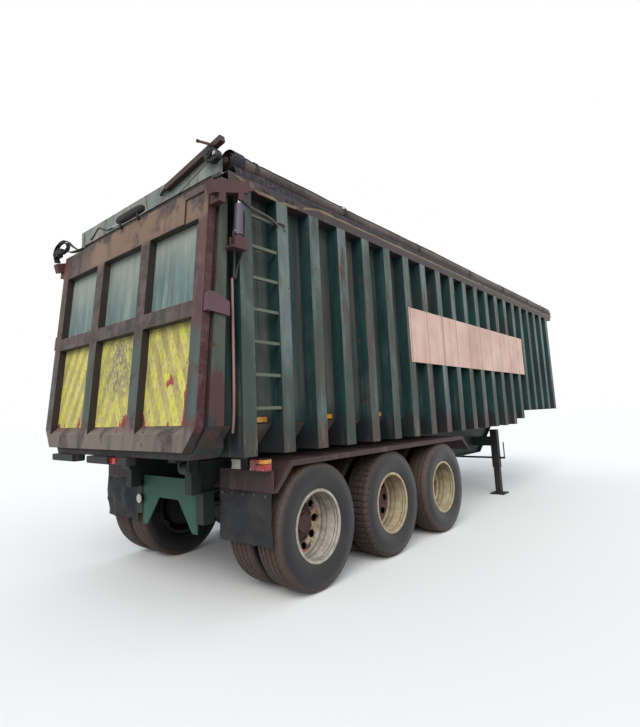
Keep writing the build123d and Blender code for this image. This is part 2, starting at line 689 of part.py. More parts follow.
with BuildPart() as gate_skin:
    with BuildSketch(GATE_PLANE.offset(GATE_FRAME_DEPTH)):
        with BuildLine():
            Polyline(*gate_outline(), close=True)
        make_face()
    extrude(amount=GATE_SKIN)
save(gate_skin, "gate_skin")


def gate_arm(side):
    """One arm from the gate's top corner forward to its pivot, with the ears of the ram's eye."""
    beam_length = math.dist((ARM_REAR_X, ARM_REAR_Z), (ARM_FRONT_X, ARM_FRONT_Z))
    beam_angle = math.degrees(math.atan2(ARM_FRONT_Z - ARM_REAR_Z, ARM_FRONT_X - ARM_REAR_X))
    beam_middle = ((ARM_REAR_X + ARM_FRONT_X) / 2, (ARM_REAR_Z + ARM_FRONT_Z) / 2)
    neck_start = (ARM_FRONT_X - PIVOT_BOSS, ARM_FRONT_Z - PIVOT_BOSS / 3)
    neck_length = math.dist(neck_start, (PIVOT_X, PIVOT_Z))
    neck_angle = math.degrees(math.atan2(PIVOT_Z - neck_start[1], PIVOT_X - neck_start[0]))
    neck_middle = ((neck_start[0] + PIVOT_X) / 2, (neck_start[1] + PIVOT_Z) / 2)
    ear_gap = RAM_EYE_WIDTH / 2 + RAM_EYE_SIDE_GAP
    y_low, y_high = sorted(both(ARM_INNER, OVERALL_HALF_WIDTH, side))
    with BuildPart() as arm:
        with BuildSketch(Plane.XZ.offset(-y_low)):
            with Locations(Location(beam_middle, beam_angle)):
                Rectangle(beam_length, ARM_DEPTH)
            with Locations(Location(neck_middle, neck_angle)):
                Rectangle(neck_length, 2 * PIVOT_BOSS)
            with Locations((PIVOT_X, PIVOT_Z)):
                Circle(PIVOT_BOSS)
                Circle(PIVOT_RADIUS + RUNNING_CLEARANCE, mode=Mode.SUBTRACT)
        extrude(amount=-(y_high - y_low))
        for y in (RAM_Y - ear_gap - BRACKET_PLATE, RAM_Y + ear_gap):
            ear = [(RAM_EYE_X - EAR_HALF, RAM_EYE_Z - EAR_DROP), (RAM_EYE_X + EAR_HALF, RAM_EYE_Z - EAR_DROP)]
            ear += [(RAM_EYE_X + EAR_HALF, RAM_EYE_Z + EAR_RISE), (RAM_EYE_X - EAR_HALF, RAM_EYE_Z + EAR_RISE)]
            add(side_plate(ear, both(y, y + BRACKET_PLATE, side)))
        lug = [(gate_x(LUG_BOTTOM, SHEET), LUG_BOTTOM), (gate_x(LUG_BOTTOM, GATE_FRAME_DEPTH), LUG_BOTTOM)]
        lug += [(gate_x(LUG_TOP, GATE_FRAME_DEPTH), LUG_TOP), (gate_x(LUG_TOP, SHEET), LUG_TOP)]
        add(side_plate(lug, both(GATE_HALF, OVERALL_HALF_WIDTH, side)))
    return arm.part


with BuildPart() as gate_arms:
    for side in SIDES:
        add(gate_arm(side))
save(gate_arms, "gate_arms")

# A plate on each edge of the gate, half way up, laps over the corner post.
LAP_FOOT = 2170
LAP_LUG_FOOT = 2190
LAP_LUG_HEAD = 2320
LAP_HEAD = 2330
LAP_POINT_X = REAR + 296
LAP_POINT_HEAD = 2275
LAP_GAP = 7
LAP_SETBACK = SHEET
lap_inner = BODY_WIDTH / 2 + LAP_GAP
with BuildPart() as lap_plates:
    for side in SIDES:
        lap = [(gate_x(LAP_LUG_FOOT, LAP_SETBACK), LAP_LUG_FOOT), (LAP_POINT_X, LAP_FOOT)]
        lap += [(LAP_POINT_X, LAP_POINT_HEAD), (gate_x(LAP_HEAD, GATE_FRAME_DEPTH), LAP_HEAD)]
        lap += [(gate_x(LAP_HEAD, LAP_SETBACK), LAP_HEAD)]
        add(side_plate(lap, both(lap_inner, lap_inner + BRACKET_PLATE, side)))
        lug = [(gate_x(LAP_LUG_FOOT, LAP_SETBACK), LAP_LUG_FOOT)]
        lug += [(gate_x(LAP_LUG_FOOT, GATE_FRAME_DEPTH), LAP_LUG_FOOT)]
        lug += [(gate_x(LAP_LUG_HEAD, GATE_FRAME_DEPTH), LAP_LUG_HEAD)]
        lug += [(gate_x(LAP_LUG_HEAD, LAP_SETBACK), LAP_LUG_HEAD)]
        add(side_plate(lug, both(GATE_HALF, lap_inner, side)))
save(lap_plates, "gate_lap_plates")

# ================================================================ gate rams
ram_axis = Vector(RAM_EYE_X - RAM_BASE_X, 0, RAM_EYE_Z - RAM_BASE_Z)
RAM_LENGTH = ram_axis.length
RAM_TILT = ram_axis.normalized()
BARREL_FOOT = 40
BARREL_HEAD = 284
BARREL_FLOOR = 22
ROD_START = BARREL_FLOOR + 2
RAM_EYE_TRIM = 4
for side, end in zip(SIDES, ("right", "left")):
    ram_y = side * RAM_Y
    base_plane = Plane(origin=(RAM_BASE_X, ram_y, RAM_BASE_Z), x_dir=(0, 1, 0), z_dir=RAM_TILT)
    with BuildPart() as barrel:
        with BuildSketch(base_plane.offset(BARREL_FOOT)):
            Circle(RAM_RADIUS)
        extrude(amount=BARREL_HEAD - BARREL_FOOT)
        with BuildSketch(base_plane.offset(BARREL_FOOT + BARREL_FLOOR)):
            Circle(RAM_ROD_RADIUS + RAM_ROD_CLEARANCE)
        extrude(amount=BARREL_HEAD - BARREL_FOOT - BARREL_FLOOR, mode=Mode.SUBTRACT)
        with BuildSketch(base_plane):
            Rectangle(RAM_EYE_WIDTH, 2 * (RAM_EYE_RADIUS - RAM_EYE_TRIM))
        extrude(amount=BARREL_FOOT)
        add(cross_rod(RAM_BASE_X, RAM_BASE_Z, RAM_EYE_RADIUS,
                      (ram_y - RAM_EYE_WIDTH / 2, ram_y + RAM_EYE_WIDTH / 2)))
        add(cross_rod(RAM_BASE_X, RAM_BASE_Z, RAM_PIN_RADIUS + RUNNING_CLEARANCE,
                      (ram_y - RAM_EYE_WIDTH, ram_y + RAM_EYE_WIDTH)), mode=Mode.SUBTRACT)
    save(barrel, f"ram_barrel_{end}")
    with BuildPart() as rod:
        with BuildSketch(base_plane.offset(BARREL_FOOT + ROD_START)):
            Circle(RAM_ROD_RADIUS)
        extrude(amount=RAM_LENGTH - BARREL_FOOT - ROD_START)
        add(cross_rod(RAM_EYE_X, RAM_EYE_Z, RAM_EYE_RADIUS - RAM_EYE_TRIM,
                      (ram_y - RAM_EYE_WIDTH / 2, ram_y + RAM_EYE_WIDTH / 2)))
    save(rod, f"ram_rod_{end}")

# ================================================================ chassis
RAIL_START = TIP_X + 75
CROSS_TUBE_Z = 950
LOW_TUBE_Z = 850
NECK_TUBE_Z = 1240
LEG_ARM_HALF = 60
LEG_ARM_Z = (790, 940)
TIP_PIN_PROUD = 12
CRADLE_START = REAR + 9150
CRADLE_HALF = 60
CRADLE_BACK = 20
CRADLE_STEP = 10
COUPLER_START = REAR + 7950
COUPLER_SHEET = 12
rail_profile = [(RAIL_START, AXLE_ZONE_BOTTOM), (REAR + 4330, AXLE_ZONE_BOTTOM), (REAR + 4700, DEEP_BOTTOM)]
rail_profile += [(REAR + 6700, DEEP_BOTTOM), (REAR + 7500, NECK_BOTTOM), (CHASSIS_FRONT, NECK_BOTTOM)]
rail_profile += [(CHASSIS_FRONT, CHASSIS_NECK_TOP), (RAMP_END, CHASSIS_NECK_TOP)]
rail_profile += [(RAMP_START, CHASSIS_TOP), (RAIL_START, CHASSIS_TOP)]
CROSS_TUBES = [(REAR + 1875, CROSS_TUBE_Z), (REAR + 3075, CROSS_TUBE_Z), (REAR + 4250, CROSS_TUBE_Z)]
CROSS_TUBES += [(REAR + 5400, LOW_TUBE_Z), (LEG_X, LOW_TUBE_Z)]
CROSS_TUBES += [(REAR + 7700, NECK_TUBE_Z), (REAR + 9200, NECK_TUBE_Z)]


def rail(side):
    """One deep rail: a plate web with flanges along its top and bottom."""
    flange_half = RAIL_FLANGE / 2
    with BuildPart() as piece:
        with BuildSketch(Plane.XZ.offset(-min(both(RAIL_Y - flange_half, RAIL_Y + flange_half, side)))):
            with BuildLine():
                Polyline(*rail_profile, close=True)
            make_face()
        extrude(amount=-RAIL_FLANGE)
        for low, high in ((RAIL_Y - flange_half, RAIL_Y - RAIL_WEB / 2), (RAIL_Y + RAIL_WEB / 2, RAIL_Y + flange_half)):
            with BuildSketch(Plane.XZ.offset(-min(both(low, high, side)))):
                with BuildLine():
                    Polyline(*rail_profile, close=True)
                make_face()
                offset(amount=-RAIL_FLANGE_THICKNESS, kind=Kind.INTERSECTION, mode=Mode.REPLACE)
            extrude(amount=-(high - low), mode=Mode.SUBTRACT)
    return piece.part


rails = [rail(side) for side in SIDES]
web_inner = RAIL_Y - RAIL_WEB / 2
with BuildPart() as chassis:
    for piece in rails:
        add(piece)
    for x, z in CROSS_TUBES:
        height = min(CROSS_TUBE, 2 * (z - NECK_BOTTOM)) if x > RAMP_END else CROSS_TUBE
        block((x - CROSS_TUBE / 2, x + CROSS_TUBE / 2), (-web_inner, web_inner), (z - height / 2, z + height / 2))
    for index in range(AXLE_COUNT + 1):
        x = AXLE_FIRST + (index - 0.5) * AXLE_PITCH
        for side in SIDES:
            block((x - HANGER_LENGTH / 2, x + HANGER_LENGTH / 2),
                  both(RAIL_Y - HANGER_WIDTH / 2, RAIL_Y + HANGER_WIDTH / 2, side),
                  (HANGER_BOTTOM, AXLE_ZONE_BOTTOM))
    for side in SIDES:
        knuckle = both(RAIL_Y - TIP_KNUCKLE_WIDTH / 2, RAIL_Y + TIP_KNUCKLE_WIDTH / 2, side)
        add(cross_rod(TIP_X, TIP_Z, TIP_KNUCKLE_RADIUS, knuckle))
        block((TIP_X, RAIL_START + RAIL_FLANGE_THICKNESS), knuckle, (AXLE_ZONE_BOTTOM, CHASSIS_TOP))
        pin = both(EAR_INNER - TIP_PIN_PROUD, EAR_OUTER + TIP_EAR + TIP_PIN_PROUD, side)
        add(cross_rod(TIP_X, TIP_Z, TIP_PIN_RADIUS, pin))
        block((LEG_X - LEG_ARM_HALF, LEG_X + LEG_ARM_HALF),
              both(RAIL_Y + RAIL_WEB / 2, LEG_Y - LEG_OUTER / 2, side), LEG_ARM_Z)
        cradle_head = CHASSIS_NECK_TOP - CRADLE_STEP
        cradle_foot = HOIST_BASE_Z - CRADLE_HALF
        cradle = [(CRADLE_START, NECK_BOTTOM), (HOIST_X - CRADLE_BACK, cradle_foot)]
        cradle += [(HOIST_X + CRADLE_HALF, cradle_foot), (HOIST_X + CRADLE_HALF, HOIST_BASE_Z + CRADLE_HALF)]
        cradle += [(CHASSIS_FRONT, cradle_head), (CRADLE_START, cradle_head)]
        add(side_plate(cradle, both(CRADLE_Y, CRADLE_Y + CRADLE_PLATE, side)))
        add(cross_rod(HOIST_X, HOIST_BASE_Z, HOIST_PIN_RADIUS + RUNNING_CLEARANCE,
                      both(CRADLE_Y - 1, CRADLE_Y + CRADLE_PLATE + 1, side)), mode=Mode.SUBTRACT)
    block((COUPLER_START, CHASSIS_FRONT), (-RAIL_Y - RAIL_FLANGE / 2, RAIL_Y + RAIL_FLANGE / 2),
          (NECK_BOTTOM - COUPLER_SHEET, NECK_BOTTOM))
    add(tube(KINGPIN_X, 0, KINGPIN_COLLAR + KINGPIN_HOLE_GAP, (NECK_BOTTOM - COUPLER_SHEET, NECK_BOTTOM)),
        mode=Mode.SUBTRACT)
save(chassis, "chassis_frame")

# Rear cross member: a plate between the rear hangers, with a cut-out that leaves two spread legs.
CROSS_X = AXLE_FIRST - AXLE_PITCH / 2
inner_face = RAIL_Y - HANGER_WIDTH / 2
flange_edge = RAIL_Y - RAIL_FLANGE / 2
BRACE_FOOT = 470
BRACE_LEG = 70
BRACE_ARCH_HALF = 150
BRACE_ARCH = 730
BRACE_TOP = 920
BRACE_SHEET = 12
brace = [(-inner_face, BRACE_FOOT), (-inner_face + BRACE_LEG, BRACE_FOOT), (-BRACE_ARCH_HALF, BRACE_ARCH)]
brace += [(BRACE_ARCH_HALF, BRACE_ARCH), (inner_face - BRACE_LEG, BRACE_FOOT), (inner_face, BRACE_FOOT)]
brace += [(inner_face, AXLE_ZONE_BOTTOM), (flange_edge, AXLE_ZONE_BOTTOM), (flange_edge, BRACE_TOP)]
brace += [(-flange_edge, BRACE_TOP), (-flange_edge, AXLE_ZONE_BOTTOM), (-inner_face, AXLE_ZONE_BOTTOM)]
with BuildPart() as rear_brace:
    add(cross_plate(brace, (CROSS_X - HANGER_WIDTH / 2, CROSS_X - HANGER_WIDTH / 2 + BRACE_SHEET)))
save(rear_brace, "rear_cross_brace")

# The kingpin hangs through the coupler plate from a flange on the plate's top.
with BuildPart() as kingpin:
    plate_bottom = NECK_BOTTOM - COUPLER_SHEET
    collar_end, neck_end, head_end = [plate_bottom - step for step in KINGPIN_STEPS]
    add(tube(KINGPIN_X, 0, KINGPIN_FLANGE, (NECK_BOTTOM, NECK_BOTTOM + COUPLER_SHEET)))
    add(tube(KINGPIN_X, 0, KINGPIN_COLLAR, (collar_end, NECK_BOTTOM)))
    add(tube(KINGPIN_X, 0, KINGPIN_NECK, (neck_end, collar_end)))
    add(tube(KINGPIN_X, 0, KINGPIN_HEAD, (head_end, neck_end)))
save(kingpin, "kingpin")

with BuildPart() as landing_legs:
    for side in SIDES:
        block((LEG_X - LEG_OUTER / 2, LEG_X + LEG_OUTER / 2),
              both(LEG_Y - LEG_OUTER / 2, LEG_Y + LEG_OUTER / 2, side), (LEG_OUTER_BOTTOM, LEG_TOP))
        block((LEG_X - LEG_INNER / 2, LEG_X + LEG_INNER / 2),
              both(LEG_Y - LEG_INNER / 2, LEG_Y + LEG_INNER / 2, side), (LEG_FOOT_SHEET, LEG_OUTER_BOTTOM))
        block((LEG_X - LEG_FOOT_HALF_LENGTH, LEG_X + LEG_FOOT_HALF_LENGTH),
              both(LEG_Y - LEG_FOOT_HALF_WIDTH, LEG_Y + LEG_FOOT_HALF_WIDTH, side), (0, LEG_FOOT_SHEET))
    crank_y = -LEG_Y - LEG_CRANK_REACH
    add(cross_rod(LEG_X, LEG_SHAFT_Z, LEG_SHAFT_RADIUS, (crank_y, LEG_Y)))
    block((LEG_X - LEG_CRANK_SHEET, LEG_X + LEG_CRANK_SHEET), (crank_y - LEG_CRANK_SHEET, crank_y),
          (LEG_SHAFT_Z - LEG_SHAFT_RADIUS, LEG_SHAFT_Z + LEG_CRANK_HEAD))
save(landing_legs, "landing_legs")


def leaf(index):
    """One leaf of a spring, arched on XZ about its middle, measured from the axle's centre line."""
    full_half = (AXLE_PITCH - HANGER_LENGTH) / 2
    half = full_half - index * SPRING_STEP
    thickness = SPRING_LEAF + 1
    top = AXLE_BEAM / 2 + AXLE_SEAT + SPRING_LEAVES * SPRING_LEAF + 1 - index * SPRING_LEAF
    foot = top - thickness
    lift = SPRING_RISE * (half / full_half) ** 2
    with BuildPart() as piece:
        with BuildSketch(Plane.XZ.offset(-SPRING_WIDTH / 2)):
            with BuildLine():
                upper = ThreePointArc((-half, top + lift), (0, top), (half, top + lift))
                lower = ThreePointArc((-half, foot + lift), (0, foot), (half, foot + lift))
                Line(upper @ 0, lower @ 0)
                Line(upper @ 1, lower @ 1)
            make_face()
        extrude(amount=SPRING_WIDTH)
    return piece.part


with BuildPart() as spring_shape:
    for index in range(SPRING_LEAVES):
        add(leaf(index))
axle_positions = [AXLE_FIRST + index * AXLE_PITCH for index in range(AXLE_COUNT)]
with BuildPart() as springs:
    with Locations([(x, side * RAIL_Y, TYRE_RADIUS) for x in axle_positions for side in SIDES]):
        add(spring_shape.part)
save(springs, "leaf_springs")

with BuildPart() as axle_shape:
    block((-AXLE_BEAM / 2, AXLE_BEAM / 2), (-AXLE_BEAM_END, AXLE_BEAM_END), (-AXLE_BEAM / 2, AXLE_BEAM / 2))
    fillet(axle_shape.edges().filter_by(Axis.Y), radius=AXLE_ROUND)
    add(cross_rod(0, 0, SPINDLE_RADIUS, (-SPINDLE_END, SPINDLE_END)))
    for side in SIDES:
        add(cross_rod(0, 0, DRUM_RADIUS - DISC_SHEET, both(AXLE_BEAM_END, AXLE_BEAM_END + SHIELD, side)))
        block((-SPRING_WIDTH, SPRING_WIDTH), both(RAIL_Y - SPRING_WIDTH / 2, RAIL_Y + SPRING_WIDTH / 2, side),
              (AXLE_BEAM / 2, AXLE_BEAM / 2 + AXLE_SEAT))
        block((AXLE_BEAM / 2, AXLE_BEAM / 2 + BRAKE_ARM_REACH), both(*BRAKE_ARM_SPAN, side),
              (-BRAKE_ARM_HALF, BRAKE_ARM_HALF))
        add(cross_rod(AXLE_BEAM / 2 + BRAKE_POT_REACH, 0, BRAKE_POT_RADIUS, both(*BRAKE_POT_SPAN, side)))
with BuildPart() as axles:
    with Locations([(x, 0, TYRE_RADIUS) for x in axle_positions]):
        add(axle_shape.part)
save(axles, "axle_beams")

with BuildPart() as tanks:
    for x in TANK_X:
        add(cross_rod(x, TANK_Z, TANK_RADIUS, (-TANK_HALF, TANK_HALF)))
        for side in SIDES:
            block((x - TANK_STRAP_HALF, x + TANK_STRAP_HALF),
                  both(RAIL_Y - RAIL_FLANGE / 2, TANK_STRAP_REACH, side), (TANK_STRAP_FOOT, DEEP_BOTTOM))
save(tanks, "air_tanks")


def fender(side):
    """A long shelf over the wheels with a turned-down lip, sloping ends and the plate that holds a mudflap."""
    top = CHASSIS_TOP
    outer = BODY_WIDTH / 2
    front_foot = FENDER_END + (FENDER_START - FENDER_DROP_X)
    front_z = FENDER_DROP_Z + FENDER_FRONT_RISE
    under = FENDER_SHEET
    strip = [(FENDER_DROP_X, FENDER_DROP_Z), (FENDER_START, top), (FENDER_END, top), (front_foot, front_z)]
    strip += [(front_foot - under, front_z), (FENDER_END - under / 2, top - under)]
    strip += [(FENDER_START + under / 2, top - under), (FENDER_DROP_X + under, FENDER_DROP_Z)]
    lip = [(FENDER_DROP_X, FENDER_DROP_Z), (FENDER_START, top), (FENDER_END, top), (front_foot, front_z)]
    lip += [(front_foot - FENDER_LIP, front_z), (FENDER_END - FENDER_LIP / 2, top - FENDER_LIP)]
    lip += [(FENDER_START + FENDER_LIP / 2, top - FENDER_LIP), (FENDER_DROP_X + FENDER_LIP, FENDER_DROP_Z)]
    with BuildPart() as piece:
        add(side_plate(strip, both(FENDER_INNER, outer, side)))
        add(side_plate(lip, both(outer - FENDER_SHEET, outer, side)))
        block((FENDER_DROP_X - END_PLATE, FENDER_DROP_X + END_PLATE_LAP), both(FLAP_INNER, outer, side),
              (FENDER_DROP_Z, END_PLATE_TOP))
    return piece.part


with BuildPart() as fenders:
    for side in SIDES:
        add(fender(side))
save(fenders, "fenders")

with BuildPart() as mudflaps:
    for side in SIDES:
        block((FENDER_DROP_X - END_PLATE - FLAP_THICKNESS, FENDER_DROP_X - END_PLATE),
              both(FLAP_INNER, FLAP_OUTER, side), (FLAP_BOTTOM, FLAP_TOP))
save(mudflaps, "mudflaps")

with BuildPart() as tail_lamps:
    for side in SIDES:
        for y_ends in TAIL_LAMP_SPANS:
            lamp_front = FENDER_DROP_X - TAIL_LAMP_SEAT
            block((lamp_front - TAIL_LAMP_DEPTH, lamp_front), both(*y_ends, side),
                  (END_PLATE_TOP, END_PLATE_TOP + TAIL_LAMP_HEIGHT))
save(tail_lamps, "tail_lamps")

# ================================================================ wheels
def ring(profile):
    """A solid turned about the Y axis from an outline of (y, radius) points."""
    with BuildPart() as piece:
        with BuildSketch(Plane.YZ):
            with BuildLine():
                Polyline(*profile, close=True)
            make_face()
        revolve(axis=Axis.Y)
    return piece.part


def tyre(centre_y):
    """One hollow tyre, open between its beads, with rounded sidewalls and shoulders."""
    bead = RIM_HALF_WIDTH - RIM_SHEET
    bulge = TYRE_WIDTH / 2
    toe = bead - TYRE_WALL
    waist = TYRE_BULGE_Z
    seat = TYRE_SEAT_Z
    shoulder = bulge - TYRE_STEP
    edge = shoulder - TYRE_STEP
    shoulder_z = TYRE_RADIUS - TYRE_SHOULDER
    edge_z = TYRE_RADIUS - TYRE_EDGE
    lining = TYRE_RADIUS - TYRE_CROWN
    inner_waist = bulge - TYRE_WALL
    inner_edge = inner_waist - TYRE_LINING_STEP
    with BuildPart() as piece:
        with BuildSketch(Plane.YZ):
            with BuildLine():
                Polyline((toe, TYRE_BEAD_RADIUS), (bead, TYRE_BEAD_RADIUS), (bead, seat))
                ThreePointArc((bead, seat), (bulge, waist), (shoulder, shoulder_z))
                Polyline((shoulder, shoulder_z), (edge, edge_z))
                ThreePointArc((edge, edge_z), (0, TYRE_RADIUS), (-edge, edge_z))
                Polyline((-edge, edge_z), (-shoulder, shoulder_z))
                ThreePointArc((-shoulder, shoulder_z), (-bulge, waist), (-bead, seat))
                Polyline((-bead, seat), (-bead, TYRE_BEAD_RADIUS), (-toe, TYRE_BEAD_RADIUS))
                ThreePointArc((-toe, TYRE_BEAD_RADIUS), (-inner_waist, waist), (-inner_edge, lining))
                Polyline((-inner_edge, lining), (inner_edge, lining))
                ThreePointArc((inner_edge, lining), (inner_waist, waist), (toe, TYRE_BEAD_RADIUS))
            make_face()
        revolve(axis=Axis.Y)
    with BuildPart() as placed:
        with Locations((0, centre_y, 0)):
            add(piece.part)
    return placed.part


def rim(centre_y, facing):
    """One rim and its disc; facing is the way from the rim's middle towards its open dish."""
    flange = RIM_HALF_WIDTH
    barrel = [(-flange, RIM_FLANGE_RADIUS), (-flange + RIM_SHEET, RIM_FLANGE_RADIUS)]
    barrel += [(-flange + RIM_SHEET, TYRE_BEAD_RADIUS), (flange - RIM_SHEET, TYRE_BEAD_RADIUS)]
    barrel += [(flange - RIM_SHEET, RIM_FLANGE_RADIUS), (flange, RIM_FLANGE_RADIUS)]
    barrel += [(flange, TYRE_BEAD_RADIUS - RIM_BARREL), (-flange, TYRE_BEAD_RADIUS - RIM_BARREL)]
    return ring([(centre_y + facing * y, r) for y, r in barrel])


def hub_and_rims():
    """Two rims, their discs, the hub and the brake drum of one twin wheel, for the left side."""
    outer_y = TWIN_Y + TWIN_OFFSET
    inner_y = TWIN_Y - TWIN_OFFSET
    well = TYRE_BEAD_RADIUS - RIM_BARREL + 2
    foot = DISC_FOOT_RADIUS
    plate = DISC_SHEET + DISC_OVERLAP
    root = HUB_RADIUS - DISC_OVERLAP
    bore = SPINDLE_RADIUS + RUNNING_CLEARANCE
    outer_disc = [(TWIN_Y, root), (TWIN_Y, foot), (TWIN_Y + DISC_DISH, well), (TWIN_Y + DISC_DISH + plate, well)]
    outer_disc += [(TWIN_Y + plate, foot), (TWIN_Y + plate, root)]
    inner_disc = [(2 * TWIN_Y - y, r) for y, r in outer_disc]
    hub = [(DRUM_START, DRUM_RADIUS), (DRUM_END, DRUM_RADIUS), (DRUM_END, DRUM_NECK_RADIUS)]
    hub += [(TWIN_Y - plate, DRUM_NECK_RADIUS), (TWIN_Y - plate, HUB_RADIUS), (TWIN_Y + HUB_SHOULDER, HUB_RADIUS)]
    hub += [(TWIN_Y + y, r) for y, r in HUB_STEPS]
    hub += [(TWIN_Y + HUB_STEPS[-1][0], 0), (SPINDLE_END + SPINDLE_GAP, 0), (SPINDLE_END + SPINDLE_GAP, bore)]
    hub += [(DRUM_END - DRUM_FLOOR, bore), (DRUM_END - DRUM_FLOOR, DRUM_RADIUS - DRUM_SHEET)]
    hub += [(DRUM_START, DRUM_RADIUS - DRUM_SHEET)]
    half_cut = DISC_DISH + HAND_HOLE_WIDTH
    with BuildPart() as piece:
        for shape in (rim(outer_y, 1), rim(inner_y, -1), ring(outer_disc), ring(inner_disc), ring(hub)):
            add(shape)
        with BuildSketch(Plane.XZ.offset(half_cut - TWIN_Y)):
            with PolarLocations(HAND_HOLE_CIRCLE, HAND_HOLES):
                SlotOverall(HAND_HOLE_LENGTH, HAND_HOLE_WIDTH, rotation=90)
        extrude(amount=-2 * half_cut, mode=Mode.SUBTRACT)
    return piece.part


left_rims = hub_and_rims()
with BuildPart() as left_tyres:
    add(tyre(TWIN_Y + TWIN_OFFSET))
    add(tyre(TWIN_Y - TWIN_OFFSET))
for index, x in enumerate(axle_positions):
    row = ("rear", "middle", "front")[index]
    for side, end in zip(SIDES, ("right", "left")):
        turned = Location((x, 0, TYRE_RADIUS), (0, 0, 180 if side < 0 else 0))
        with BuildPart() as tyres:
            with Locations(turned):
                add(left_tyres.part)
        save(tyres, f"tyres_{row}_{end}")
        with BuildPart() as rims:
            with Locations(turned):
                add(left_rims)
        save(rims, f"rims_{row}_{end}")

# ================================================================ front hoist
def hoist_low(index):
    """Where a tube starts: the barrel at its foot, the others on the barrel's thick bottom, a step apart."""
    return HOIST_FOOT + HOIST_PLUG + (index - 1) * HOIST_STEP if index else HOIST_FOOT


def hoist_tube(index):
    """One tube of the hoist, open at its top, with the collar that guides the next tube."""
    outer = HOIST_TUBE_RADII[index]
    bore = outer - HOIST_TUBE_WALL
    low = hoist_low(index)
    high = HOIST_TOP + index * HOIST_STEP
    with BuildPart() as piece:
        add(tube(HOIST_X, 0, outer, (low, high)))
        if index < len(HOIST_TUBE_RADII) - 1:
            neck = HOIST_TUBE_RADII[index + 1] + HOIST_GLAND_CLEARANCE
            add(tube(HOIST_X, 0, bore, (hoist_low(index + 1) - HOIST_FLOOR_GAP, high - HOIST_GLAND)), mode=Mode.SUBTRACT)
            add(tube(HOIST_X, 0, neck, (high - HOIST_GLAND - 1, high + 1)), mode=Mode.SUBTRACT)
    return piece.part


for index in range(len(HOIST_TUBE_RADII)):
    shape = hoist_tube(index)
    with BuildPart() as stage:
        add(shape)
        if index == 0:
            block((HOIST_X - HOIST_SHOE_HALF, HOIST_X + HOIST_SHOE_HALF), (-HOIST_SHOE_Y, HOIST_SHOE_Y),
                  (HOIST_BASE_Z - HOIST_SHOE_DROP, HOIST_FOOT))
            pin_end = CRADLE_Y + CRADLE_PLATE + HOIST_FLOOR_GAP
            add(cross_rod(HOIST_X, HOIST_BASE_Z, HOIST_PIN_RADIUS, (-pin_end, pin_end)))
        if index == len(HOIST_TUBE_RADII) - 1:
            block((HOIST_X - HOIST_EYE_NECK, HOIST_X + HOIST_EYE_NECK), (-HOIST_EYE_HALF, HOIST_EYE_HALF),
                  (HOIST_TOP + index * HOIST_STEP, HOIST_EYE_Z))
            add(cross_rod(HOIST_X, HOIST_EYE_Z, HOIST_EYE_RADIUS, (-HOIST_EYE_HALF, HOIST_EYE_HALF)))
    save(stage, "hoist_barrel" if index == 0 else f"hoist_stage_{index}")

with BuildPart() as hoist_bracket:
    for side in SIDES:
        ear = [(BODY_FRONT, WALL_TOP - HOIST_EAR_FOOT), (HOIST_X - HOIST_EAR_HALF, HOIST_EYE_Z - HOIST_EAR_HALF)]
        ear += [(HOIST_X + HOIST_EAR_HALF, HOIST_EYE_Z - HOIST_EAR_HALF)]
        ear += [(HOIST_X + HOIST_EAR_HALF, HOIST_EYE_Z + HOIST_EAR_HALF)]
        ear += [(HOIST_X - HOIST_EAR_RISE, HOIST_EYE_Z + HOIST_EAR_HALF), (BODY_FRONT, WALL_TOP + HOIST_EAR_RISE)]
        add(side_plate(ear, both(*HOIST_EAR_SPAN, side)))
    block((BODY_FRONT, BODY_FRONT + HOIST_PAD_SHEET), (-HOIST_PAD_HALF, HOIST_PAD_HALF),
          (WALL_TOP - HOIST_PAD_DROP, WALL_TOP + HOIST_PAD_RISE))
save(hoist_bracket, "hoist_bracket")

print(len(written), "sub-parts")
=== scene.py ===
from math import cos, exp, pi, radians, sin

import bmesh
import bpy
from mathutils import Euler, Matrix, Vector, noise


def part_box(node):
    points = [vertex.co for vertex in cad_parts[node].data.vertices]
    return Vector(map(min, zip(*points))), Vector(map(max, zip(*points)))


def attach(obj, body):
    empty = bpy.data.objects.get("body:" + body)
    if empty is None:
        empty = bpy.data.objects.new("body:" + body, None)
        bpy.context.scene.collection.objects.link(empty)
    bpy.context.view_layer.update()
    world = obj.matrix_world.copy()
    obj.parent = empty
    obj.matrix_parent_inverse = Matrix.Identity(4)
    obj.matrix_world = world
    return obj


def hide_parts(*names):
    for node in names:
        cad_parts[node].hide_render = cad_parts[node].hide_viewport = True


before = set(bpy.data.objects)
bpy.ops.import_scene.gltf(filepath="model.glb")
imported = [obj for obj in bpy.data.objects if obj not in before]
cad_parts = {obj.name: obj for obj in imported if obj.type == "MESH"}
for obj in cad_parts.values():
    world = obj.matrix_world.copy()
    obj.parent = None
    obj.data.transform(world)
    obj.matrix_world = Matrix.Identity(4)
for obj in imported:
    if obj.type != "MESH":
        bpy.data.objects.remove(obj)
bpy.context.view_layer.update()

# Every place below is in metres. The trailer's rear edge is at x = REAR.
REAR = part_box("gate_frame")[0].x
SIDES = {"right": -1, "left": 1}
ROWS = ("rear", "middle", "front")


def axle_centre(row):
    """The middle of an axle's wheels."""
    low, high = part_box(f"rims_{row}_right")
    return (low + high) / 2


def at(x, y, z):
    """A point given by its distance ahead of the trailer's rear edge."""
    return Vector((REAR + x, y, z))


def srgb(red, green, blue):
    """A colour from its 0 to 255 screen values, as the shaders read it."""
    def linear(value):
        value /= 255
        return value / 12.92 if value <= 0.04045 else ((value + 0.055) / 1.055) ** 2.4
    return (linear(red), linear(green), linear(blue), 1)


def darker(colour, share):
    """A screen colour with only a share of its light, as the shaders read it."""
    return tuple(c * share for c in srgb(*colour)[:3]) + (1,)


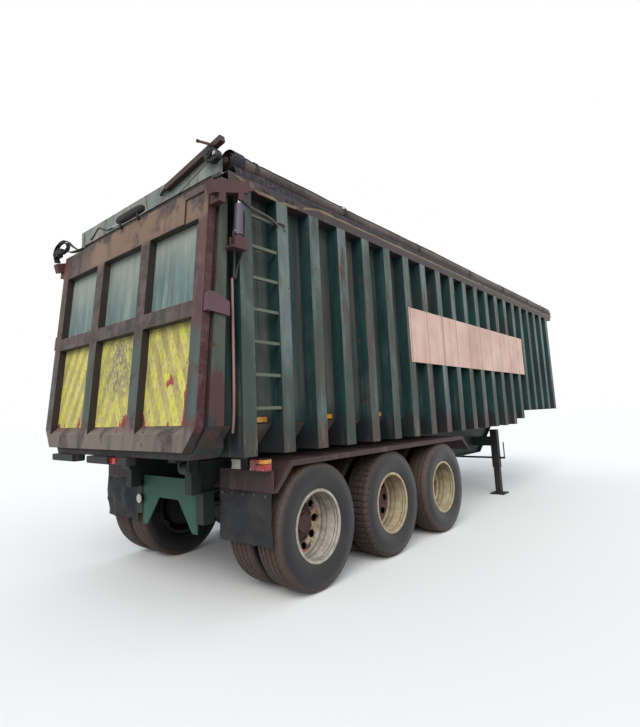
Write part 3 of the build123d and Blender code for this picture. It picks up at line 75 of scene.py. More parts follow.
# ---------------------------------------------------------------- shader building
class Value:
    """A number or colour that a material works out at each point of the surface."""

    def __init__(self, shader, socket):
        self.shader, self.socket = shader, socket

    def __add__(self, other):
        return self.shader.math("ADD", self, other)

    def __sub__(self, other):
        return self.shader.math("SUBTRACT", self, other)

    def __mul__(self, other):
        return self.shader.math("MULTIPLY", self, other)

    def __abs__(self):
        return self.shader.math("ABSOLUTE", self)

    def sine(self):
        return self.shader.math("SINE", self)

    def back_and_forth(self, top):
        """Rises from 0 to top and falls back, again and again."""
        return self.shader.math("PINGPONG", self, top)

    def step(self, low, high):
        """0 below low, 1 above high, and smooth between them. With low above high it falls instead."""
        falls = low > high
        return self.shader.add("ShaderNodeMapRange", {"interpolation_type": "SMOOTHSTEP"}, Value=self,
                               From_Min=min(low, high), From_Max=max(low, high),
                               To_Min=int(falls), To_Max=int(not falls))


class Shader:
    """One procedural material, built from nodes that read the surface's own place.

    Plain colours are given by their 0 to 255 screen values."""

    def __init__(self, name):
        self.material = bpy.data.materials.new(name)
        self.material.use_nodes = True
        self.nodes = self.material.node_tree.nodes
        self.links = self.material.node_tree.links
        self.bsdf = self.nodes["Principled BSDF"]
        self.place = self.add("ShaderNodeTexCoord", out="Object")
        self.x, self.y, self.z = (self.add("ShaderNodeSeparateXYZ", out=axis, Vector=self.place)
                                  for axis in "XYZ")
        self.off_centre = abs(self.y)

    def add(self, kind, settings=None, out=0, **sockets):
        """A node's output. Its sockets are given by name, or by number after an underscore."""
        node = self.nodes.new(kind)
        for name, value in (settings or {}).items():
            setattr(node, name, value)
        for name, value in sockets.items():
            self.put(node.inputs[int(name[1:]) if name[0] == "_" else name.replace("_", " ")], value)
        return Value(self, node.outputs[out])

    def put(self, socket, value):
        """Joins a socket to a Value, or sets it to a plain number, vector or colour."""
        if isinstance(value, Value):
            self.links.new(value.socket, socket)
        elif socket.type == "RGBA" and len(value) == 3:
            socket.default_value = srgb(*value)
        else:
            socket.default_value = value

    def math(self, operation, first, second=0.0):
        return self.add("ShaderNodeMath", {"operation": operation}, _0=first, _1=second)

    def vector(self, operation, first, second, out=0):
        return self.add("ShaderNodeVectorMath", {"operation": operation}, out, _0=first, _1=second)

    def noise(self, scale, stretch=1, detail=4, roughness=0.55, shift=0.0):
        """Noise from 0 to 1; scale is in features a metre, and stretch multiplies it along z."""
        moved = self.add("ShaderNodeMapping", Vector=self.place, Location=(shift,) * 3, Scale=(1, 1, stretch))
        return self.add("ShaderNodeTexNoise", Vector=moved, Scale=scale, Detail=detail, Roughness=roughness)

    def mix(self, share, first, second):
        """The first colour where share is 0, the second where it is 1."""
        return self.add("ShaderNodeMix", {"data_type": "RGBA"}, 2, Factor=share, _6=first, _7=second)

    def normal(self):
        return self.add("ShaderNodeNewGeometry", out="Normal")

    def edges(self, radius):
        """1 along sharp outer and inner edges, 0 on flat faces."""
        soft = self.add("ShaderNodeBevel", {"samples": 4}, Radius=radius)
        return self.vector("DOT_PRODUCT", soft, self.normal(), "Value").step(0.995, 0.9)

    def facing(self, axis):
        """How far the surface faces along an axis, without its sign."""
        return abs(self.add("ShaderNodeSeparateXYZ", out=axis, Vector=self.normal()))

    def radius(self, centre=(0, 0, 0)):
        """How far a point lies from the axle through centre."""
        flat = self.vector("MULTIPLY", self.vector("SUBTRACT", self.place, centre), (1, 0, 1))
        return self.add("ShaderNodeVectorMath", {"operation": "LENGTH"}, "Value", _0=flat)

    def bump(self, height, distance, strength=1.0):
        bumped = self.add("ShaderNodeBump", Height=height, Distance=distance, Strength=strength)
        self.put(self.bsdf.inputs["Normal"], bumped)

    def finish(self, colour, roughness, **sockets):
        for name, value in {"Base_Color": colour, "Roughness": roughness, **sockets}.items():
            self.put(self.bsdf.inputs[name.replace("_", " ")], value)
        return self.material


RUST_DARK = (52, 34, 29)
RUST_WARM = (98, 60, 45)
DIRT = (34, 31, 31)
DUST = (146, 142, 132)


def weather(shader, colour, rust=0.5, streaks=0.5, dust=0.3, edge=0.012, gloss=0.45, tone=0.35):
    """Layers tone changes, running dirt, dust, rust and worn edges over a paint colour, and finishes it."""
    patchy = shader.noise(1.7, detail=6, shift=3.1)
    shade = patchy.step(0.25, 0.75) * tone + (1 - tone / 2)
    colour = shader.add("ShaderNodeVectorMath", {"operation": "SCALE"}, _0=colour, Scale=shade)
    runs = shader.noise(9, 0.05, 5, 0.6, shift=7.7)
    colour = shader.mix(runs.step(0.5, 0.72) * streaks, colour, DIRT)
    pale_runs = shader.noise(14, 0.04, 5, 0.6, shift=1.3)
    cloud = shader.noise(3.1, detail=5, shift=5.5)
    dusty = pale_runs.step(0.5, 0.75) * cloud.step(0.4, 0.7)
    colour = shader.mix(dusty * dust, colour, DUST)
    grain = shader.noise(24, 1, 8, 0.7, shift=2.2)
    islands = shader.noise(4.6, 1, 9, 0.72, shift=9.4)
    mottle = grain * 0.3 + islands * 0.7
    eaten = mottle.step(0.655 - 0.1 * rust, 0.69 - 0.1 * rust)
    if edge:
        rim = shader.edges(edge) * grain.step(0.58 - 0.2 * rust, 0.72 - 0.2 * rust)
        eaten = shader.math("MAXIMUM", eaten, rim * 0.8)
    colour = shader.mix(eaten, colour, shader.mix(grain.step(0.38, 0.66), RUST_DARK, RUST_WARM))
    rough = patchy * 0.2 + (eaten * (0.9 - gloss) + gloss)
    shader.bump(eaten * (grain - 0.7) + islands * 0.4, 0.004, 0.6)
    return shader.finish(colour, rough)


def paint(name, colour, rust, streaks, dust, edge, gloss):
    """One even colour, weathered."""
    shader = Shader(name)
    return weather(shader, shader.mix(0.0, colour, colour), rust, streaks, dust, edge, gloss)


# ---------------------------------------------------------------- materials
# The height where the tailgate's yellow ends and its teal starts.
PANEL_SPLIT = 2.23
# How far off the trailer's middle the rims' grooves run.
RIM_GROOVES = (1.032, 1.085, 1.178, 1.206)


def ribs_material():
    shader = Shader("rib_paint")
    # Painted light and shade: faces turned outward get pale paint, partly worn and partly a painted
    # highlight; the ribs' front and rear faces get dark teal, painted shade.
    face = shader.facing("Y").step(0.6, 0.8)
    pale = shader.noise(2.6, 0.3, 7, 0.62, shift=1.9)
    fine = shader.noise(11, 0.16, 7, 0.68, shift=3.3)
    up = shader.z * 0.11 + (fine * 0.25 + -0.42)
    outer = shader.mix((up + pale).step(0.34, 0.62), (52, 66, 61), (104, 120, 116))
    olive = shader.noise(3.1, 0.22, 8, 0.68, shift=6.1)
    outer = shader.mix(olive.step(0.5, 0.6) * 0.85, outer, (66, 62, 55))
    bare = (fine * 0.4 + olive).step(0.76, 0.8)
    outer = shader.mix(bare, outer, (70, 52, 46))
    side = shader.mix(fine.step(0.42, 0.62), (6, 42, 44), (10, 62, 57))
    colour = shader.mix(face, side, outer)
    foot = (olive * 0.9 + shader.z).step(1.9, 1.72)
    patched = shader.mix(pale.step(0.47, 0.56), (34, 54, 48), (78, 52, 50))
    patched = shader.mix(fine.step(0.56, 0.64), patched, (102, 92, 84))
    # Painted shade: near the foot the front and rear faces are near black, while the outward faces get rust
    # patches.
    low = shader.mix(face, (24, 26, 30), patched)
    colour = shader.mix(foot * 0.92, colour, low)
    return weather(shader, colour, rust=0.5, streaks=0.55, dust=0.3, edge=0.02, gloss=0.5)


def skin_material():
    """The flat sheet between the ribs: brown-grey over green, partly road film and partly painted sky
    reflection, with painted shade low down where the sheet slants in.
    """
    shader = Shader("sheet_paint")
    film = shader.noise(2.2, 0.3, 7, 0.6, shift=5.2)
    lines = shader.noise(13, 0.03, 6, shift=0.7)
    # The brown-grey is partly road film and partly a painted reflection of the sky.
    grey = shader.mix(film.step(0.38, 0.6), (58, 70, 68), (82, 78, 74))
    colour = shader.mix(lines.step(0.5, 0.66), grey, (16, 58, 54))
    # Painted shade: darker teal low down, on the slanted lower panel.
    foot = (film * 0.5 + shader.z).step(1.86, 1.6)
    colour = shader.mix(foot * 0.9, colour, (12, 44, 44))
    inside = shader.off_centre.step(1.1165, 1.1145) * shader.z.step(1.2, 1.215)
    worn = shader.mix(film.step(0.4, 0.6), (96, 88, 78), (122, 112, 98))
    colour = shader.mix(inside, colour, worn)
    return weather(shader, colour, rust=0.35, streaks=0.5, dust=0.25, edge=0, gloss=0.45)


def gate_panel_material():
    """Streaky teal over yellow with faded slanting stripes, worn through at the middle and the right foot."""
    shader = Shader("gate_panel_paint")
    streaky = shader.noise(15, 0.06, 7, 0.65, shift=2.7)
    cloud = shader.noise(1.9, detail=5, shift=8.3)
    teal = shader.mix(streaky.step(0.38, 0.68), (86, 114, 114), (134, 146, 138))
    lift = (cloud * 0.7 + shader.z).step(2.75, 3.25)
    teal = shader.mix(lift * 0.55, teal, (170, 172, 160))
    run = shader.off_centre * 2.1 + shader.z
    wobble = shader.noise(5, 1, 7, 0.7, shift=3.3) * 0.16 + run
    stripe = wobble.back_and_forth(0.17).step(0.07, 0.1)
    speck = shader.noise(48, 0.45, 8, 0.72, shift=4.8)
    faded = shader.noise(3.0, detail=6, shift=5.9).step(0.3, 0.62)
    bleach = shader.noise(9, 1, 7, 0.7, shift=0.6).step(0.35, 0.7)
    yellow = shader.mix(bleach, (216, 212, 84), (208, 198, 130))
    khaki = shader.mix(faded, (156, 138, 92), (188, 174, 112))
    yellow = shader.mix(stripe * 0.7, yellow, khaki)
    yellow = shader.mix(speck.step(0.5, 0.6) * 0.45, yellow, (120, 108, 78))
    worn_height = abs(shader.z - 1.92)
    worn = shader.off_centre.step(0.3, 0.08) * worn_height.step(0.36, 0.12) * speck.step(0.44, 0.54)
    yellow = shader.mix(worn * 0.8, yellow, (112, 106, 108))
    peel = shader.noise(4.6, 0.55, 6, 0.58, shift=11.3)
    low = shader.z.step(1.62, 1.36) * 0.13 + peel
    right = shader.y.step(-0.9, -1.06) * 0.17 + low
    yellow = shader.mix(right.step(0.655, 0.672), yellow, (160, 66, 58))
    core = (speck * 0.12 + right).step(0.755, 0.78)
    yellow = shader.mix(core, yellow, (92, 56, 44))
    chips = shader.noise(17, 0.6, shift=6.6).step(0.715, 0.73)
    yellow = shader.mix(chips, yellow, (70, 56, 48))
    drip = shader.noise(30, 0.02, shift=3.9) * 0.11 + shader.z
    yellow = shader.mix(drip.step(1.405, 1.395), yellow, (98, 76, 70))
    colour = shader.mix(shader.z.step(PANEL_SPLIT - 0.01, PANEL_SPLIT + 0.01), yellow, teal)
    colour = shader.mix(shader.off_centre.step(1.12, 1.14), colour, (46, 30, 32))
    return weather(shader, colour, rust=0.1, streaks=0.25, dust=0.2, edge=0, gloss=0.5, tone=0.2)


def gate_frame_material():
    shader = Shader("gate_frame_paint")
    cloud = shader.noise(2.3, 1, 7, 0.6, shift=6.6)
    fine = shader.noise(9.5, 1, 8, 0.68, shift=2.9)
    boxy = shader.noise(3.3, 0.3, 3, 0.4, shift=7.4)
    brown = shader.mix(fine.step(0.4, 0.62), (56, 47, 48), (92, 78, 74))
    brown = shader.mix(boxy.step(0.54, 0.58) * 0.6, brown, (124, 92, 84))
    red = shader.off_centre.step(1.08, 1.14) * cloud.step(0.42, 0.5)
    brown = shader.mix(red * 0.6, brown, (92, 52, 54))
    top = shader.z.step(2.88, 2.96) * shader.y.step(0.75, 0.5) * cloud.step(0.44, 0.52)
    brown = shader.mix(top * 0.75, brown, (138, 110, 90))
    teal = shader.z.step(2.15, 2.0) * shader.z.step(1.4, 1.5) * cloud.step(0.4, 0.5)
    brown = shader.mix(teal, brown, (72, 84, 80))
    low = shader.z.step(1.4, 1.34) * boxy.step(0.46, 0.5)
    brown = shader.mix(low, brown, (110, 100, 92))
    # Painted shade: faces turned to the sides get a darker copy of the brown; the outermost of them get dark
    # red.
    side = shader.facing("Y").step(0.6, 0.8)
    brown = shader.mix(side, brown, (38, 28, 27))
    outer_side = shader.mix(fine.step(0.45, 0.6), (62, 26, 30), (90, 58, 58))
    brown = shader.mix(side * shader.off_centre.step(1.19, 1.2), brown, outer_side)
    # Painted shade: faces turned up or down, above about 1.55 m, get dark brown.
    down = shader.facing("Z").step(0.7, 0.8) * shader.z.step(1.5, 1.6)
    brown = shader.mix(down, brown, (40, 32, 30))
    return weather(shader, brown, rust=0.45, streaks=0.45, dust=0.25, edge=0.016, gloss=0.55)


def rear_frame_material():
    """Olive posts with dark rear faces, and a pale scratched header."""
    shader = Shader("rear_frame_paint")
    cloud = shader.noise(2.4, 0.4, 7, 0.62, shift=4.2)
    fine = shader.noise(9, 0.25, 7, 0.66, shift=1.6)
    red = shader.noise(4.4, 0.3, 7, shift=9.9)
    post = shader.mix(cloud.step(0.4, 0.6), (54, 66, 58), (84, 88, 80))
    post = shader.mix(red.step(0.5, 0.58), post, (72, 40, 42))
    post = shader.mix(shader.facing("X").step(0.6, 0.85) * 0.85, post, (44, 26, 28))
    foot = (cloud * 0.5 + shader.z).step(1.76, 1.6)
    post = shader.mix(foot, post, shader.mix(fine.step(0.45, 0.55), (22, 34, 34), (62, 38, 38)))
    header = shader.mix(cloud.step(0.42, 0.6), (124, 134, 130), (158, 156, 148))
    header = shader.mix(fine.step(0.56, 0.62), header, (112, 88, 78))
    scratch = shader.y * 0.32 + shader.z
    line = scratch.step(3.146, 3.15) * scratch.step(3.162, 3.158)
    header = shader.mix(line, header, (52, 52, 54))
    colour = shader.mix(shader.z.step(3.33, 3.36), post, header)
    return weather(shader, colour, rust=0.4, streaks=0.5, dust=0.2, edge=0.016, gloss=0.5)


def banner_material():
    shader = Shader("banner_paint")
    cloud = shader.noise(1.9, detail=6, shift=1.2)
    peach = shader.mix(cloud.step(0.35, 0.65), (228, 196, 184), (214, 176, 162))
    lines = shader.noise(5, 0.02, shift=7.1)
    peach = shader.mix(lines.step(0.55, 0.68) * 0.45, peach, (176, 140, 126))
    seam = (shader.x + 0.12).back_and_forth(0.21375)
    peach = shader.mix(seam.step(0.016, 0.004) * 0.7, peach, (150, 118, 106))
    return weather(shader, peach, rust=0.15, streaks=0.15, dust=0.2, edge=0.012, gloss=0.5, tone=0.18)


def rim_material(row, disc, ring, barrel):
    """A rim's paint by its distance from the axle: hub, nut ring, disc and barrel; its inner side is painted
    near black as shade.
    """
    shader = Shader(f"rim_paint_{row}")
    centre = axle_centre(row)
    radius = shader.radius((centre.x, 0, centre.z))
    fine = shader.noise(12, 1, 8, 0.7, shift=2.4)
    patch = shader.noise(5, detail=6, shift=7.1)
    cream = shader.mix(fine.step(0.38, 0.66), barrel, darker(barrel, 0.62))
    face = shader.mix(patch.step(0.44, 0.56), disc, ring)
    face = shader.mix(fine.step(0.54, 0.62), face, (74, 44, 38))
    face = shader.mix((patch * 0.05 + radius).step(0.235, 0.215), face, (70, 38, 38))
    colour = shader.mix(radius.step(0.2575, 0.2625), face, cream)
    for place in RIM_GROOVES:
        groove = abs(shader.off_centre - place).step(0.007, 0.003) * radius.step(0.2625, 0.266)
        colour = shader.mix(groove * 0.75, colour, (88, 64, 50))
    # Painted shade: near black on the rim's inner side, under the trailer.
    colour = shader.mix(shader.off_centre.step(0.935, 0.92), colour, (20, 19, 21))
    return weather(shader, colour, rust=0.35, streaks=0.1, dust=0.35, edge=0.008, gloss=0.5, tone=0.25)


def tyre_material(name, tread, shade):
    """Dusty tread over a dark wall, with fine moulded rings round the bead."""
    shader = Shader(name)
    radius = shader.radius()
    cloud = shader.noise(5, detail=6, shift=3.7)
    fine = shader.noise(45, 1, 5, 0.65, shift=8.1)
    on_tread = (cloud * 0.06 + radius).step(0.488, 0.54)
    tone = shader.mix(fine.step(0.35, 0.7), tread, darker(tread, 0.55))
    wall = shader.mix(cloud.step(0.45, 0.7) * 0.35, shade, (40, 35, 36))
    wall = shader.mix(radius.step(0.34, 0.31) * 0.7, wall, (16, 16, 19))
    tone = shader.mix(on_tread, wall, tone)
    rings = (radius * 900).sine() * radius.step(0.33, 0.335) * radius.step(0.4, 0.39)
    shader.bump(rings * 0.25 + fine, 0.0015, 0.5)
    return shader.finish(tone, on_tread * 0.35 + 0.4)


def rubber_material(name, colour, dusty):
    shader = Shader(name)
    cloud = shader.noise(4, detail=6, shift=3.7)
    fine = shader.noise(60, 1, 4, 0.6, shift=1.5)
    tone = shader.mix(cloud.step(0.4, 0.72) * dusty, colour, (92, 84, 76))
    shader.bump(fine * 0.3 + cloud, 0.002, 0.4)
    return shader.finish(tone, cloud * 0.2 + 0.62)


def canvas_material():
    shader = Shader("canvas_cloth")
    cloud = shader.noise(2.2, detail=7, shift=5.1)
    fine = shader.noise(26, detail=5, shift=0.4)
    cloth = shader.mix(cloud.step(0.35, 0.68), (58, 48, 46), (96, 82, 78))
    cloth = shader.mix(fine.step(0.5, 0.7) * 0.35, cloth, (122, 104, 98))
    weave = (shader.x * 2200).sine() * (shader.z * 2200).sine()
    shader.bump(weave * 0.1 + (fine * 0.6 + cloud), 0.006, 0.5)
    return shader.finish(cloth, 0.82, Sheen_Weight=0.12)


def cloth_material(name, low, high):
    shader = Shader(name)
    cloud = shader.noise(3.2, detail=7, shift=4.6)
    fine = shader.noise(38, detail=5, shift=2.4)
    cloth = shader.mix(cloud.step(0.35, 0.68), low, high)
    cloth = shader.mix(fine.step(0.5, 0.72) * 0.3, cloth, DUST)
    shader.bump(fine * 0.6 + cloud, 0.004, 0.5)
    return shader.finish(cloth, 0.85)


def glass_material(name, colour):
    shader = Shader(name)
    shader.bump((shader.y * 620).sine() * (shader.z * 620).sine(), 0.001, 0.35)
    cloud = shader.noise(18, shift=2.2)
    tone = shader.mix(cloud.step(0.45, 0.75) * 0.4, colour, DIRT)
    return shader.finish(tone, cloud * 0.3 + 0.1, Coat_Weight=0.5)


def steel_material(name, colour, metallic, rough, rust):
    shader = Shader(name)
    fine = shader.noise(40, 0.2, 5, shift=6.3)
    islands = shader.noise(9, 1, 7, 0.65, shift=4.1)
    eaten = islands.step(0.74 - 0.22 * rust, 0.8 - 0.22 * rust)
    tone = shader.mix(fine.step(0.3, 0.7), colour, darker(colour, 0.7))
    tone = shader.mix(eaten, tone, RUST_DARK)
    shader.bump(fine, 0.001, 0.2)
    return shader.finish(tone, eaten * (0.85 - rough) + rough, Metallic=metallic)


# Each even paint's colour, then its rust, streaks, dust, width of worn edges, and gloss.
PAINTS = {
    "top_rail": ((54, 40, 44), 0.5, 0.4, 0.25, 0.01, 0.45),
    "chassis": ((30, 38, 37), 0.4, 0.3, 0.2, 0.012, 0.55),
    "brace": ((44, 92, 78), 0.35, 0.45, 0.25, 0.012, 0.5),
    "dark": ((24, 24, 26), 0.35, 0.2, 0.2, 0.01, 0.55),
    "fender": ((62, 43, 46), 0.4, 0.3, 0.3, 0.014, 0.6),
    "arm": ((82, 46, 50), 0.4, 0.3, 0.15, 0.01, 0.5),
    "lap_plate": ((96, 70, 78), 0.35, 0.3, 0.2, 0.01, 0.55),
    "ram": ((96, 86, 102), 0.35, 0.4, 0.25, 0.006, 0.45),
    "bracket": ((78, 46, 54), 0.4, 0.3, 0.2, 0.008, 0.5),
    "ladder": ((96, 104, 90), 0.55, 0.1, 0.3, 0, 0.6),
    "bar": ((64, 48, 44), 0.5, 0.2, 0.2, 0.006, 0.55),
    "spring": ((52, 42, 36), 0.7, 0.1, 0.35, 0, 0.65),
    "black_gear": ((26, 25, 27), 0.3, 0.1, 0.3, 0, 0.5),
    "pipe": ((150, 110, 106), 0.4, 0.2, 0.2, 0, 0.5),
}
MATERIALS = {
    **{name: paint(f"{name}_paint", *wear) for name, wear in PAINTS.items()},
    "rust_nut": paint("rust_nut", (84, 52, 42), 0.8, 0.1, 0.3, 0, 0.7),
    "body": skin_material(),
    "ribs": ribs_material(),
    "rear_frame": rear_frame_material(),
    "gate_frame": gate_frame_material(),
    "gate_panel": gate_panel_material(),
    "banner": banner_material(),
    "rims_rear": rim_material("rear", (168, 96, 72), (176, 158, 134), (186, 180, 168)),
    "rims_middle": rim_material("middle", (84, 50, 46), (96, 62, 54), (198, 182, 150)),
    "rims_front": rim_material("front", (122, 82, 72), (146, 118, 98), (188, 176, 142)),
    "rubber": rubber_material("tyre_rubber", (28, 27, 29), dusty=0.5),
    "tyre": tyre_material("tyre_rubber", (84, 68, 60), (15, 15, 19)),
    "tyre_block": tyre_material("block_tyre_rubber", (66, 52, 46), (17, 15, 18)),
    "flap": rubber_material("flap_rubber", (19, 22, 28), dusty=0.2),
    "sleeve_rubber": rubber_material("sleeve_rubber", (22, 20, 22), dusty=0.35),
    "hose": rubber_material("hose_rubber", (30, 29, 30), dusty=0.5),
    "canvas": canvas_material(),
    # Painted shade: the hanging apron's near-black cloth stands for the shade under the roll.
    "canvas_painted_shade": cloth_material("canvas_painted_shade", (22, 22, 32), (44, 36, 42)),
    "hem": cloth_material("canvas_hem", (116, 98, 78), (142, 126, 104)),
    "strap": cloth_material("webbing", (36, 34, 34), (58, 54, 52)),
    "wrap": cloth_material("wrap_cloth", (20, 22, 38), (40, 40, 54)),
    "rope": cloth_material("rope_fibre", (60, 54, 52), (120, 112, 106)),
    "red_lens": glass_material("red_lens", (168, 22, 18)),
    "white_lens": glass_material("white_lens", (214, 212, 204)),
    "amber_lens": glass_material("amber_lens", (226, 150, 44)),
    "rod": steel_material("rod_steel", (176, 178, 180), metallic=1.0, rough=0.22, rust=0.15),
    "steel": steel_material("worn_steel", (110, 106, 100), metallic=0.8, rough=0.5, rust=0.5),
    "zinc": steel_material("zinc_steel", (186, 188, 190), metallic=1.0, rough=0.3, rust=0.25),
}
NODE_MATERIALS = {
    "body": ["body_floor", "side_wall_left", "side_wall_right", "front_wall"],
    "ribs": ["ribs_left", "ribs_right"],
    "top_rail": ["top_rails"],
    "rear_frame": ["rear_frame", "hoist_bracket"],
    "gate_frame": ["gate_frame"],
    "gate_panel": ["gate_skin"],
    "banner": ["banner_panels"],
    "chassis": ["chassis_frame", "sub_frame"],
    "brace": ["rear_cross_brace"],
    "dark": ["landing_legs", "axle_beams", "air_tanks", "sill_lamp_housings", "hoist_barrel", "tail_lamps"],
    "fender": ["fenders"],
    "arm": ["gate_arms"],
    "lap_plate": ["gate_lap_plates"],
    "ram": ["ram_barrel_left", "ram_barrel_right"],
    "bracket": ["ram_brackets"],
    "ladder": ["ladder_rungs"],
    "bar": ["crank_bar"],
    "spring": ["leaf_springs"],
    **{f"rims_{row}": [f"rims_{row}_{side}" for side in SIDES] for row in ROWS},
    "rubber": [f"tyres_{row}_{side}" for row in ROWS for side in SIDES],
    "flap": ["mudflaps"],
    "canvas": ["canvas_roll"],
    "rod": ["ram_rod_left", "ram_rod_right", *(f"hoist_stage_{stage}" for stage in range(1, 5))],
    "steel": ["kingpin", "gate_pivots", "roll_supports", "winding_tube_ends"],
}


def dress(piece, material):
    """Gives a piece or CAD node one material."""
    slots = piece.data.materials
    slots.clear()
    slots.append(MATERIALS[material])


for material, names in NODE_MATERIALS.items():
    for name in names:
        dress(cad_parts[name], material)


def new_object(name, data):
    """Puts a mesh, curve, lamp or camera into the scene."""
    piece = bpy.data.objects.new(name, data)
    bpy.context.scene.collection.objects.link(piece)
    return piece


# ---------------------------------------------------------------- stage, light and camera
def any_ray(nodes, links):
    """1 on camera, glossy and transmission rays."""
    rays = nodes.new("ShaderNodeLightPath")
    seen = rays.outputs["Is Camera Ray"]
    for name in ("Is Glossy Ray", "Is Transmission Ray"):
        both = nodes.new("ShaderNodeMath")
        both.operation = "MAXIMUM"
        links.new(seen, both.inputs[0])
        links.new(rays.outputs[name], both.inputs[1])
        seen = both.outputs[0]
    return seen


def floor_material():
    """White where it is seen; as dull as a road in the light that it throws back."""
    material = bpy.data.materials.new("floor_plain")
    material.use_nodes = True
    nodes, links = material.node_tree.nodes, material.node_tree.links
    bsdf = nodes["Principled BSDF"]
    tone = nodes.new("ShaderNodeMix")
    tone.data_type = "RGBA"
    tone.inputs[6].default_value = srgb(128, 124, 120)
    tone.inputs[7].default_value = srgb(246, 246, 245)
    links.new(any_ray(nodes, links), tone.inputs["Factor"])
    links.new(tone.outputs[2], bsdf.inputs["Base Color"])
    bsdf.inputs["Roughness"].default_value = 0.9
    return material


def make_stage():
    bpy.ops.mesh.primitive_plane_add(size=400, location=(0, 0, 0))
    floor = bpy.context.object
    floor.name = "stage_floor"
    floor.data.materials.append(floor_material())


SKY_STRENGTH = 0.72


def make_world():
    world = bpy.data.worlds.new("soft_sky")
    world.use_nodes = True
    nodes, links = world.node_tree.nodes, world.node_tree.links
    nodes.clear()
    out = nodes.new("ShaderNodeOutputWorld")
    mixed = nodes.new("ShaderNodeMixShader")
    soft, white = nodes.new("ShaderNodeBackground"), nodes.new("ShaderNodeBackground")
    soft.inputs["Color"].default_value = (0.86, 0.93, 1.0, 1)
    soft.inputs["Strength"].default_value = SKY_STRENGTH
    white.inputs["Color"].default_value = (1, 1, 1, 1)
    links.new(any_ray(nodes, links), mixed.inputs["Fac"])
    links.new(soft.outputs[0], mixed.inputs[1])
    links.new(white.outputs[0], mixed.inputs[2])
    links.new(mixed.outputs[0], out.inputs["Surface"])
    bpy.context.scene.world = world


def make_lamp(name, strength, angle, aim, colour=(1, 1, 1)):
    """A sun that shines along aim; angle is its width in degrees."""
    lamp = bpy.data.lights.new(name, "SUN")
    lamp.energy = strength
    lamp.angle = radians(angle)
    lamp.color = colour
    new_object(name, lamp).rotation_euler = Vector(aim).to_track_quat("-Z", "Y").to_euler()


CAMERA_PLACE = at(-1.9711, -3.8681, 1.4501)
CAMERA_YAW = 0.7272
CAMERA_PITCH = 0.1411
CAMERA_ROLL = -0.0371
FOCAL_PIXELS = 481.171
IMAGE_WIDTH, IMAGE_HEIGHT = 640, 727
AXIS_PIXEL = (291.11, 345.49)
SENSOR = 36


def make_camera():
    forward = Vector((cos(CAMERA_PITCH) * cos(CAMERA_YAW), cos(CAMERA_PITCH) * sin(CAMERA_YAW),
                      sin(CAMERA_PITCH)))
    level = Vector((sin(CAMERA_YAW), -cos(CAMERA_YAW), 0))
    upright = level.cross(forward)
    right = cos(CAMERA_ROLL) * level + sin(CAMERA_ROLL) * upright
    up = cos(CAMERA_ROLL) * upright - sin(CAMERA_ROLL) * level
    camera = bpy.data.cameras.new("camera")
    camera.sensor_width = SENSOR
    camera.lens = SENSOR * FOCAL_PIXELS / IMAGE_HEIGHT
    camera.shift_x = (IMAGE_WIDTH / 2 - AXIS_PIXEL[0]) / IMAGE_HEIGHT
    camera.shift_y = (AXIS_PIXEL[1] - IMAGE_HEIGHT / 2) / IMAGE_HEIGHT
    camera.clip_start, camera.clip_end = 0.05, 500
    piece = new_object("camera", camera)
    turned = Matrix((right, up, -forward)).transposed().to_4x4()
    piece.matrix_world = Matrix.Translation(CAMERA_PLACE) @ turned
    bpy.context.scene.camera = piece


make_stage()
make_world()
make_lamp("key_sun", 1.9, 40, (0.72, 0.42, -0.62), (1, 0.97, 0.93))
make_lamp("side_sun", 0.5, 60, (0.15, 0.85, -0.5))
make_camera()
bpy.context.scene.view_settings.view_transform = "Standard"


# ---------------------------------------------------------------- building pieces
def new_piece(name, verts, faces, material, body, smooth_below=None):
    """A mesh piece that rides on a body. Edges bent by less than smooth_below degrees look round."""
    mesh = bpy.data.meshes.new(name)
    mesh.from_pydata([tuple(v) for v in verts], [], faces)
    mesh.update()
    piece = new_object(name, mesh)
    dress(piece, material)
    if smooth_below:
        smooth(mesh, smooth_below)
    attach(piece, body)
    return piece


def smooth(mesh, angle):
    """Makes edges bent by less than an angle in degrees look round."""
    mesh.polygons.foreach_set("use_smooth", [True] * len(mesh.polygons))
    mesh.set_sharp_from_angle(angle=radians(angle))


def build(name, parts, material, body, smooth_below=None, bevel=0, segments=2):
    """One piece from several shapes. Each part is a function that adds a shape, then what it needs."""
    shape = bmesh.new()
    for add_shape, *sizes in parts:
        add_shape(shape, *sizes)
    if bevel:
        bmesh.ops.bevel(shape, geom=shape.edges[:], offset=bevel, segments=segments, profile=0.6,
                        affect="EDGES", clamp_overlap=True)
    bmesh.ops.recalc_face_normals(shape, faces=shape.faces)
    shape.verts.index_update()
    verts = [v.co.copy() for v in shape.verts]
    faces = [[v.index for v in face.verts] for face in shape.faces]
    shape.free()
    return new_piece(name, verts, faces, material, body, smooth_below)


def skin(rows, width, around=False, closed=False, flip=False, start=0):
    """Faces over rows of width points each, numbered from start.

    around joins a row's end to its own start, and closed joins the last row to the first."""
    faces = []
    for row in range(rows if closed else rows - 1):
        here, there = start + row * width, start + (row + 1) % rows * width
        for i in range(width if around else width - 1):
            j = (i + 1) % width
            faces.append((here + i, there + i, there + j, here + j) if flip
                         else (here + i, here + j, there + j, there + i))
    return faces


def circle(centre, u, v, radius, sides):
    return [centre + radius * (cos(a) * u + sin(a) * v) for a in (2 * pi * i / sides for i in range(sides))]


def box_shape(shape, low, high):
    """Adds a box between two corners to a bmesh."""
    for v in bmesh.ops.create_cube(shape, size=1)["verts"]:
        v.co = Vector((low[i] + (v.co[i] + 0.5) * (high[i] - low[i]) for i in range(3)))


